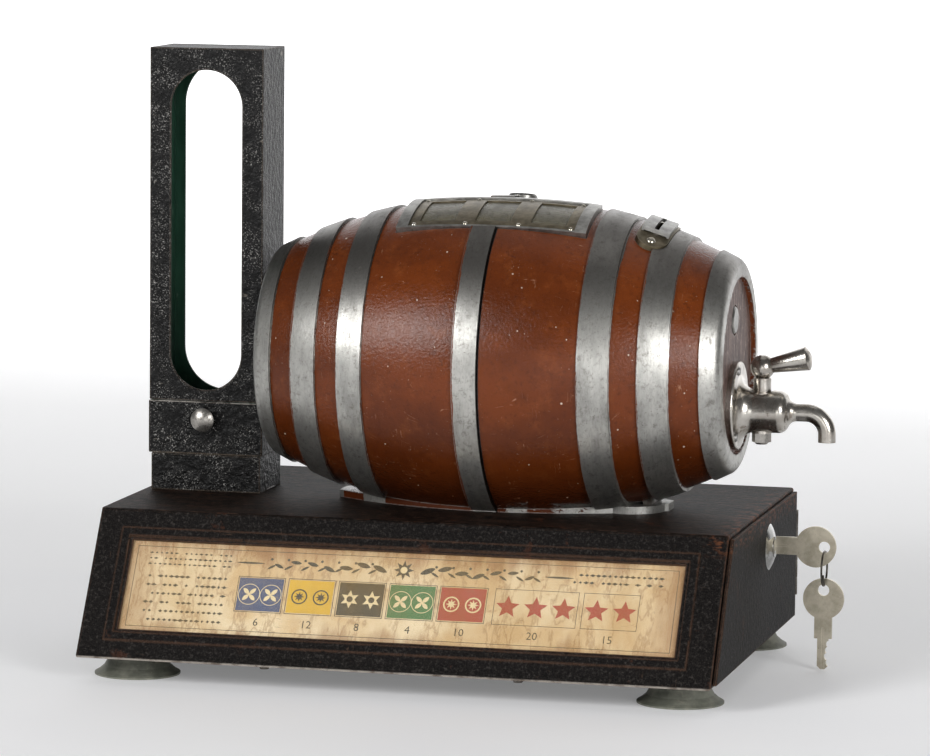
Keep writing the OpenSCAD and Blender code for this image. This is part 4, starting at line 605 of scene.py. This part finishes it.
CELLULOID = finish("Yellowed celluloid", sheet_celluloid)
PANE = finish("Cloudy window pane", cloudy_pane)
REEL_PAPER = finish("Aged reel strip", reel_paper)
INK_TONES = {"dark": (30, 25, 22), "red": (156, 18, 28), "yellow": (206, 164, 34), "green": (30, 104, 54),
             "blue": (40, 62, 106), "black": (20, 18, 18), "cream": (222, 204, 162)}
INKS = {name: finish("Ink " + name, printer_ink(tone), Specular_IOR_Level=0.25)
        for name, tone in INK_TONES.items()}

COATS = {
    BASE_PAINT: ["base_shell", "bottom_plate", "side_door"],
    TOWER_PAINT: ["pedestal", "magazine_column", "magazine_lid", "vend_drawer"],
    KEG_COAT: ["barrel_left_half", "barrel_right_half"],
    BEZEL_METAL: ["window_bezel", "head_bung", "coin_view_ring", "kicker",
                  "frame_plate_left", "frame_plate_right"],
    PLATE_METAL: ["window_plate", "coin_plate"],
    RIVET_METAL: ["window_rivets", "coin_screws"],
    STRAP_METAL: ["coin_strap", "spigot_screws"],
    NICKEL: ["spigot_body", "spigot_plug", "spigot_handle"],
    CHROME: ["lock_case", "lock_plug"],
    KEY_METAL: ["door_key", "spare_key"],
    KNOB_METAL: ["drawer_knob", "spigot_nut"],
    WIRE_METAL: ["key_ring"],
    STEEL: ["bottom_screws", "foot_studs", "card_retainer", "cash_tray", "top_screws", "coin_chute",
            "frame_spacers", "reel_shaft", "return_spring", "push_rod", "lid_pin", "hinge_leaf_fixed",
            "hinge_leaf_door", "hinge_pin", "lock_nut", "lock_cam"],
    BRASS: ["pawl_set"],
    RUBBER: ["suction_feet"],
    LINER_GREEN: ["magazine_liner"],
    CARD: ["award_card"],
    CELLULOID: ["card_window", "coin_view_glass"],
    PANE: ["window_pane"],
    REEL_PAPER: ["reel_left", "reel_middle", "reel_right"],
}
for coat, names in COATS.items():
    for name in names:
        slots = NODES[name].data.materials
        slots.clear()
        slots.append(coat)


# Sheet metal with bent and broken edges in place of the sharp solids

def linked(name, data):
    """A new object in the scene."""
    made = bpy.data.objects.new(name, data)
    bpy.context.scene.collection.objects.link(made)
    return made


def plain_mesh(maker):
    """The object's mesh as its modifiers make it. The object itself goes."""
    made = bpy.data.meshes.new_from_object(maker.evaluated_get(bpy.context.evaluated_depsgraph_get()))
    maker.modifiers.clear()
    bpy.data.objects.remove(maker)
    return made


def new_piece(name, mesh, body):
    piece = linked(name, mesh)
    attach(piece, body)
    return piece


def on_planes(*planes):
    """Tells which edges lie in one of these planes, each an axis and a place along it in millimetres."""
    return lambda edge: any(all(abs(v.co[axis] / MM - place) < 0.05 for v in edge.verts)
                            for axis, place in planes)


# Shortest edge that is rounded at all, and shortest that has the large radius
SHORTEST_ROUNDED, SHORTEST_BENT = 1.0, 12.0


def weighted_mesh(node, small_share, skin):
    """The node's mesh, its convex edges weighted for the bevel: 1 where skin says so, else small_share."""
    work = bmesh.new()
    work.from_mesh(NODES[node].data)
    bmesh.ops.remove_doubles(work, verts=work.verts, dist=1e-6)
    bmesh.ops.dissolve_limit(work, angle_limit=math.radians(0.5), verts=work.verts, edges=work.edges)
    weight = work.edges.layers.float.new("bevel_weight_edge")
    for edge in work.edges:
        if len(edge.link_faces) != 2 or not edge.is_convex or edge.calc_face_angle() < math.radians(25):
            continue
        length = edge.calc_length() / MM
        if length > SHORTEST_ROUNDED:
            wide = length > SHORTEST_BENT and skin is not None and skin(edge)
            edge[weight] = 1.0 if wide else small_share
    mesh = bpy.data.meshes.new(node + "_sharp")
    work.to_mesh(mesh)
    work.free()
    for face in mesh.polygons:
        face.use_smooth = True
    mesh.set_sharp_from_angle(angle=math.radians(40))
    mesh.materials.append(NODES[node].data.materials[0])
    return mesh


def rounded_copy(node, body, small, large=None, skin=None):
    """A copy of the node with rounded edges: large where skin says so, small elsewhere."""
    large = large or small
    sharp = weighted_mesh(node, small / large, skin)
    maker = linked("maker", sharp)
    bevel = maker.modifiers.new("round", "BEVEL")
    bevel.limit_method = "WEIGHT"
    bevel.width = large * MM
    bevel.segments = 2
    bevel.use_clamp_overlap = False
    maker.modifiers.new("even", "WEIGHTED_NORMAL").keep_sharp = True
    mesh = plain_mesh(maker)
    mesh.name = node + "_rounded"
    bpy.data.meshes.remove(sharp)
    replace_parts(new_piece(node + "_rounded", mesh, body), node)


rounded_copy("base_shell", "base", 0.35, 1.3,
             on_planes((0, BASE_LEFT), (0, BASE_RIGHT), (1, BACK), (2, BASE_TOP)))
rounded_copy("side_door", "door", 0.5)
for node, body in (("magazine_column", "base"), ("pedestal", "base"), ("magazine_lid", "lid"),
                   ("vend_drawer", "drawer")):
    rounded_copy(node, body, 0.5)


# Printed shapes, each a flat face of one ink on the card or on a reel

def card_place(u, v, lift):
    """Point u along the card and v up it, lift above its face, in metres."""
    up, off = CARD_UP + v, CARD_FACE + lift
    return (MM * (CARD_X + u), MM * (FRONT_LOW + up * math.cos(SLOPE) - off * math.sin(SLOPE)),
            MM * (BASE_LOW + up * math.sin(SLOPE) + off * math.cos(SLOPE)))


def circle(u, v, r, count=28):
    turns = [k * math.tau / count for k in range(count)]
    return [(u + r * math.cos(turn), v + r * math.sin(turn)) for turn in turns]


def star(u, v, r, points=5, waist=0.42):
    """Star whose inner corners lie at a share of its radius."""
    radii = [r * (1 if k % 2 == 0 else waist) for k in range(2 * points)]
    return [(u + out * math.sin(k * math.pi / points), v + out * math.cos(k * math.pi / points))
            for k, out in enumerate(radii)]


def leaf(u, v, length, width, turn=0.0):
    """Leaf with a point at each end, turned by so many degrees."""
    side = [(math.cos(t) * length / 2, math.sin(t) ** 1.6 * width / 2) for t in np.linspace(0, math.pi, 12)]
    outline = side + [(-a, -c) for a, c in side[1:-1]]
    c, s = math.cos(math.radians(turn)), math.sin(math.radians(turn))
    return [(u + c * a - s * d, v + s * a + c * d) for a, d in outline]


def petals(u, v, out, length, width):
    """Four leaves that point away from one middle."""
    return [leaf(u + out * math.cos(math.radians(turn)), v + out * math.sin(math.radians(turn)),
                 length, width, turn) for turn in (45, 135, 225, 315)]


def diamond(wide, high):
    return [(-wide, 0), (0, -high), (wide, 0), (0, high)]


def box(u0, v0, u1, v1):
    return [(u0, v0), (u1, v0), (u1, v1), (u0, v1)]


def band(u0, v0, u1, v1, w):
    """Outline of a box as four bars."""
    return [box(u0, v0, u1, v0 + w), box(u0, v1 - w, u1, v1),
            box(u0, v0 + w, u0 + w, v1 - w), box(u1 - w, v0 + w, u1, v1 - w)]


def ring(u, v, r, w):
    """Ring of four-cornered pieces."""
    outer, inner = circle(u, v, r), circle(u, v, r - w)
    return [[outer[k - 1], outer[k], inner[k], inner[k - 1]] for k in range(len(outer))]


# Height of a digit as a share of the size that Blender gives to its type
DIGIT_SHARE = 0.72


def digits(text, u, v, height):
    """Plain numbers as flat faces, set with their middle at u and their foot at v."""
    curve = bpy.data.curves.new("number", "FONT")
    curve.body = text
    curve.align_x = "CENTER"
    curve.size = height / DIGIT_SHARE
    curve.resolution_u = 2
    mesh = plain_mesh(linked("number", curve))
    faces = [[(u + mesh.vertices[i].co.x, v + mesh.vertices[i].co.y) for i in face.vertices]
             for face in mesh.polygons]
    bpy.data.curves.remove(curve)
    bpy.data.meshes.remove(mesh)
    return faces


# Heights over the paper at which inks lie, so that a mark shows on its tile
ON_PAPER, ON_TILE, ON_MARK = 0.03, 0.05, 0.07


class Print:
    """Collects flat faces by ink, then makes one piece of each ink."""

    def __init__(self, place):
        self.place = place
        self.faces = {}

    def add(self, ink, *outlines, lift=ON_PAPER):
        self.faces.setdefault(ink, []).extend((outline, lift) for outline in outlines)

    def pieces(self, name, body):
        for ink, faces in self.faces.items():
            work = bmesh.new()
            for outline, lift in faces:
                turning = sum(a[0] * c[1] - c[0] * a[1] for a, c in zip(outline, outline[1:] + outline[:1]))
                points = outline if turning > 0 else outline[::-1]
                work.faces.new([work.verts.new(self.place(u, v, lift)) for u, v in points])
            mesh = bpy.data.meshes.new(name + "_" + ink)
            work.to_mesh(mesh)
            work.free()
            mesh.materials.append(INKS[ink])
            new_piece(name + "_" + ink, mesh, body)


def stamp_grid():
    """Node group that repeats a stamp in rows and columns, some left out and each of its own length."""
    tree = bpy.data.node_groups.new("Rows of stamps", "GeometryNodeTree")
    ids = {}
    kinds = {"Geometry": "Geometry", "Columns": "Int", "Rows": "Int", "Width": "Float", "Height": "Float",
             "Share": "Float", "Seed": "Int", "Ink": "Material"}
    for label, kind in kinds.items():
        socket = tree.interface.new_socket(label, in_out="INPUT", socket_type="NodeSocket" + kind)
        ids[label] = socket.identifier
    tree.interface.new_socket("Geometry", in_out="OUTPUT", socket_type="NodeSocketGeometry")
    make, join = tree.nodes.new, tree.links.new
    given, out = make("NodeGroupInput"), make("NodeGroupOutput")
    grid, put = make("GeometryNodeMeshGrid"), make("GeometryNodeInstanceOnPoints")
    keep, size = make("FunctionNodeRandomValue"), make("FunctionNodeRandomValue")
    real, coat = make("GeometryNodeRealizeInstances"), make("GeometryNodeSetMaterial")
    keep.data_type, size.data_type = "BOOLEAN", "FLOAT_VECTOR"
    size.inputs["Min"].default_value = (0.55, 0.9, 1)
    size.inputs["Max"].default_value = (1.5, 1.1, 1)
    for source, socket in (("Columns", grid.inputs["Vertices X"]), ("Rows", grid.inputs["Vertices Y"]),
                           ("Width", grid.inputs["Size X"]), ("Height", grid.inputs["Size Y"]),
                           ("Geometry", put.inputs["Instance"]), ("Share", keep.inputs["Probability"]),
                           ("Seed", keep.inputs["Seed"]), ("Seed", size.inputs["Seed"]),
                           ("Ink", coat.inputs["Material"])):
        join(given.outputs[source], socket)
    join(grid.outputs["Mesh"], put.inputs["Points"])
    join(next(s for s in keep.outputs if s.enabled), put.inputs["Selection"])
    join(next(s for s in size.outputs if s.enabled), put.inputs["Scale"])
    join(put.outputs[0], real.inputs[0])
    join(real.outputs[0], coat.inputs["Geometry"])
    join(coat.outputs[0], out.inputs[0])
    return tree, ids


STAMPS, STAMP_IDS = stamp_grid()


def stamped_rows(name, stamp, middle, **sizes):
    """Rows of one small dark shape on the card, round a middle."""
    mesh = bpy.data.meshes.new(name)
    mesh.from_pydata([(u, v, 0) for u, v in stamp], [], [list(range(len(stamp)))])
    maker = linked(name, mesh)
    rows = maker.modifiers.new("rows", "NODES")
    rows.node_group = STAMPS
    rows[STAMP_IDS["Ink"]] = INKS["dark"]
    for label, value in sizes.items():
        rows[STAMP_IDS[label]] = value
    made = plain_mesh(maker)
    for vert in made.vertices:
        vert.co = card_place(middle[0] + vert.co.x, middle[1] + vert.co.y, ON_PAPER)
    new_piece(name, made, "base")


# The card's layout: distances along it and up it
MIDDLE_U, SCROLL_V = CARD_W / 2, 42.0
TILE_U, TILE_STEP, TILE_W, TILE_EDGE = 62.0, 27.6, 24.4, 0.8
TILE_LOW, TILE_HIGH = 14.6, 33.4
TILE_V = (TILE_LOW + TILE_HIGH) / 2
MARK_OUT, STAR_STEP = 5.9, 15.0
NUMBER_V, NUMBER_H = 6.2, 4.4
# Ink and number of each tile, then left side, stars and number of each box of stars
TILES = [("blue", "6"), ("yellow", "12"), ("black", "8"), ("green", "4"), ("red", "10")]
STAR_BOXES = [(201.5, 3, "20"), (249.0, 2, "15")]


def card_scroll(card):
    """Leaves and dots to both sides of a star, along the top of the card."""
    for side in (-1, 1):
        for k in range(7):
            u = MIDDLE_U + side * (13 + 9.2 * k)
            rise = 1.6 * math.sin(k * 1.7)
            lean = side * (24 - 9 * (k % 3))
            card.add("dark", leaf(u, SCROLL_V + rise, 8.6 - 0.5 * k, 3.0 - 0.2 * k, lean),
                     leaf(u + side * 4, SCROLL_V - 1.8, 5.2, 1.3, -side * 30),
                     circle(u + side * 4.4, SCROLL_V + 2.6, 0.75, 10))
        card.add("dark", leaf(MIDDLE_U + side * 84, SCROLL_V, 16, 1.2))
    card.add("dark", star(MIDDLE_U, SCROLL_V, 5.6, 8, 0.5))
    card.add("cream", circle(MIDDLE_U, SCROLL_V, 1.9, 18), lift=ON_TILE)


def tile_mark(card, tile, u, v):
    """One of the two marks on a tile of this ink."""
    if tile in ("yellow", "red"):
        mark = "dark" if tile == "yellow" else "cream"
        card.add(mark, *ring(u, v, 4.4, 0.8), star(u, v, 3.0, 8, 0.45), lift=ON_TILE)
    elif tile in ("blue", "green"):
        card.add("cream", *petals(u, v, 2.5, 4.6, 2.2), lift=ON_TILE)
        card.add("cream", circle(u, v, 0.8, 10), *ring(u, v, 6.0, 0.35), lift=ON_TILE)
    else:
        card.add("cream", star(u, v, 5.2, 6, 0.5), lift=ON_TILE)
        card.add(tile, circle(u, v, 1.7, 14), lift=ON_MARK)


def card_print():
    card = Print(card_place)
    card.add("dark", *band(3.0, 2.6, CARD_W - 3.0, CARD_H - 2.4, 0.3))
    card_scroll(card)
    low, high = TILE_LOW - TILE_EDGE, TILE_HIGH + TILE_EDGE
    for k, (ink, number) in enumerate(TILES):
        left = TILE_U + TILE_STEP * k
        right, middle = left + TILE_W, left + TILE_W / 2
        card.add("dark", *band(left - TILE_EDGE, low, right + TILE_EDGE, high, 0.35))
        card.add(ink, box(left, TILE_LOW, right, TILE_HIGH))
        for side in (-1, 1):
            tile_mark(card, ink, middle + side * MARK_OUT, TILE_V)
        card.add("dark", *digits(number, middle, NUMBER_V, NUMBER_H))
    for left, count, number in STAR_BOXES:
        wide = STAR_STEP * count
        card.add("dark", *band(left, low, left + wide, high, 0.3))
        card.add("dark", *digits(number, left + wide / 2, NUMBER_V, NUMBER_H))
        card.add("red", *[star(left + STAR_STEP * (k + 0.5), TILE_V, 6.6, 5, 0.45) for k in range(count)])
    card.pieces("card_print", "base")
    stamped_rows("card_rows_left", diamond(1.3, 0.85), (33, 19.5),
                 Columns=15, Rows=6, Width=42, Height=25, Share=0.88, Seed=3)
    stamped_rows("card_rows_right", diamond(1.3, 0.8), (266, 42),
                 Columns=16, Rows=2, Width=46, Height=4.2, Share=0.86, Seed=5)
    stamped_rows("card_rows_corner", diamond(1.0, 0.6), (33, 42.2),
                 Columns=17, Rows=3, Width=44, Height=6.4, Share=0.86, Seed=9)


REEL_STOPS = 12
STOP_TURN = 360 / REEL_STOPS
STRIP_INKS = ["dark", "red", "green", "blue", "dark", "red",
              "yellow", "dark", "blue", "red", "green", "dark"]


def reel_print(node, body, seed):
    """Motifs round one reel, turned so that a row shows in the middle of the window."""
    low, high = reach(node)
    _, hub_y, hub_z = (low + high) / 2
    reel = np.array([v.co for v in NODES[node].data.vertices]) / MM
    off = np.hypot(reel[:, 1] - hub_y, reel[:, 2] - hub_z)
    rim = reel[off > off.max() - 0.1]
    radius, middle = off.max(), (rim[:, 0].min() + rim[:, 0].max()) / 2

    def place(u, v, lift):
        turn = -v / radius
        return (MM * (middle + u), MM * (hub_y - (radius + lift) * math.sin(turn)),
                MM * (hub_z + (radius + lift) * math.cos(turn)))

    strip = Print(place)
    half_stop = radius * math.radians(STOP_TURN / 2)
    for k in range(REEL_STOPS):
        v = -radius * math.radians(WINDOW_TURN + STOP_TURN * k)
        ink = STRIP_INKS[(k * seed + seed) % REEL_STOPS]
        motifs = [star(0, v, 6.2, 5, 0.45)], ring(0, v, 6.0, 1.6), petals(0, v, 3.0, 5.6, 2.8)
        strip.add(ink, *motifs[(k + seed) % 3])
        strip.add("dark", box(-9, v + half_stop - 0.3, 9, v + half_stop + 0.3))
    strip.pieces(node + "_print", body)


def ripple(u, v):
    """Height of the sheet's waves."""
    long = 0.1 * math.sin(u * 0.11 + 0.6)
    short = 0.06 * math.sin(u * 0.29 + v * 0.12)
    return long + short + 0.05 * math.sin(v * 0.19 + u * 0.03)


def wavy_sheet():
    """Thin celluloid in place of the stiff one, lying a little unevenly over the card."""
    across, upward = 90, 18
    margin, clearance, thickness = 1.5, 0.08, 0.12
    points, faces = [], []
    for j in range(upward + 1):
        for i in range(across + 1):
            u = -margin + (CARD_W + 2 * margin) * i / across
            v = -margin + (CARD_H + 2 * margin) * j / upward
            points.append(card_place(u, v, SHEET_FACE - CARD_FACE + clearance + ripple(u, v)))
    for j in range(upward):
        for i in range(across):
            corner = j * (across + 1) + i
            above = corner + across + 1
            faces.append((corner, corner + 1, above + 1, above))
    mesh = bpy.data.meshes.new("card_sheet")
    mesh.from_pydata(points, [], faces)
    mesh.materials.append(CELLULOID)
    for face in mesh.polygons:
        face.use_smooth = True
    sheet = new_piece("card_sheet", mesh, "base")
    solid = sheet.modifiers.new("thickness", "SOLIDIFY")
    solid.thickness, solid.offset = thickness * MM, 0.0
    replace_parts(sheet, "card_window")


card_print()
reel_print("reel_left", "left_reel", 1)
reel_print("reel_middle", "middle_reel", 5)
reel_print("reel_right", "right_reel", 7)
wavy_sheet()


# Softboxes of the studio: place and aim in metres, size of a side, power in watts
LIGHTS = [("left_softbox", (-1.3, -2.0, 1.1), (0, 0, 0.15), 0.9, 42),
          ("right_softbox", (1.9, -1.8, 0.8), (0, 0, 0.15), 1.0, 40),
          ("low_softbox", (0.5, -2.7, 0.22), (0, 0, 0.2), 0.9, 7),
          ("top_softbox", (0.1, 0.6, 2.3), (0, 0, 0.1), 1.4, 3),
          ("back_wash", (0.0, 2.0, 2.6), (0, 5.2, 1.4), 2.6, 90)]
ROOM_LIGHT = 0.13


def studio_paper(b, p):
    """Pale paper that glows more towards the back, where it turns up into the wall."""
    tone = b.tint(b.span(b.noise(p, 0.004, 2), 0.3, 0.7), paint(226, 226, 227), paint(222, 222, 224))
    glow = b.tint(b.span(b.axes(p)[1], -400.0, 2600.0), (0.17, 0.17, 0.17, 1), (0.75, 0.75, 0.75, 1))
    return {"Base Color": tone, "Roughness": 0.85, "Emission Color": glow}


def paper_sweep():
    """Floor that turns up into a wall behind the machine."""
    front, bend, radius, top, half_width = -4.0, 3.2, 2.2, 6.0, 6.0
    sweep = bmesh.new()
    curve = [(bend + radius * math.sin(turn), radius - radius * math.cos(turn))
             for turn in np.linspace(0, math.pi / 2, 24)]
    line = [(front, 0.0)] + curve + [(bend + radius, top)]
    rows = [[sweep.verts.new((x, y, z)) for y, z in line] for x in (-half_width, half_width)]
    for i in range(len(line) - 1):
        sweep.faces.new((rows[0][i], rows[1][i], rows[1][i + 1], rows[0][i + 1]))
    mesh = bpy.data.meshes.new("studio_sweep")
    sweep.to_mesh(mesh)
    sweep.free()
    for face in mesh.polygons:
        face.use_smooth = True
    mesh.materials.append(finish("Pale studio paper", studio_paper, Emission_Strength=1.0))
    linked("studio_sweep", mesh)


def studio():
    paper_sweep()
    world = bpy.data.worlds.new("Soft room")
    bpy.context.scene.world = world
    world.use_nodes = True
    world.node_tree.nodes["Background"].inputs["Color"].default_value = (1, 1, 1, 1)
    world.node_tree.nodes["Background"].inputs["Strength"].default_value = ROOM_LIGHT
    for name, place, aim, size, power in LIGHTS:
        light = bpy.data.lights.new(name, "AREA")
        light.shape = "SQUARE"
        light.size = size
        light.energy = power
        lamp = linked(name, light)
        lamp.location = place
        lamp.rotation_mode = "QUATERNION"
        lamp.rotation_quaternion = (Vector(aim) - Vector(place)).to_track_quat("-Z", "Y")
    bpy.context.scene.view_settings.view_transform = "Standard"


# The camera that the photograph was taken from, fitted to the machine's outlines
CAMERA_PLACE = Vector((0.61379, -2.54734, 0.46436))
CAMERA_TURN, CAMERA_TILT, CAMERA_ROLL = math.radians(13.8), math.radians(6.71), math.radians(0.57)
FOCAL_PIXELS, PICTURE_PIXELS, SENSOR = 4869.01, 930, 36


def photo_camera():
    level = math.cos(CAMERA_TILT)
    ahead = Vector((-math.sin(CAMERA_TURN) * level, math.cos(CAMERA_TURN) * level, -math.sin(CAMERA_TILT)))
    right = Vector((math.cos(CAMERA_TURN), math.sin(CAMERA_TURN), 0))
    up = right.cross(ahead)
    side = right * math.cos(CAMERA_ROLL) + up * math.sin(CAMERA_ROLL)
    head = up * math.cos(CAMERA_ROLL) - right * math.sin(CAMERA_ROLL)
    data = bpy.data.cameras.new("photo_camera")
    data.sensor_width = SENSOR
    data.lens = FOCAL_PIXELS * SENSOR / PICTURE_PIXELS
    data.clip_start, data.clip_end = 0.1, 40
    camera = linked("photo_camera", data)
    turned = Matrix((side, head, -ahead)).transposed().to_4x4()
    camera.matrix_world = Matrix.Translation(CAMERA_PLACE) @ turned
    bpy.context.scene.camera = camera


studio()
photo_camera()
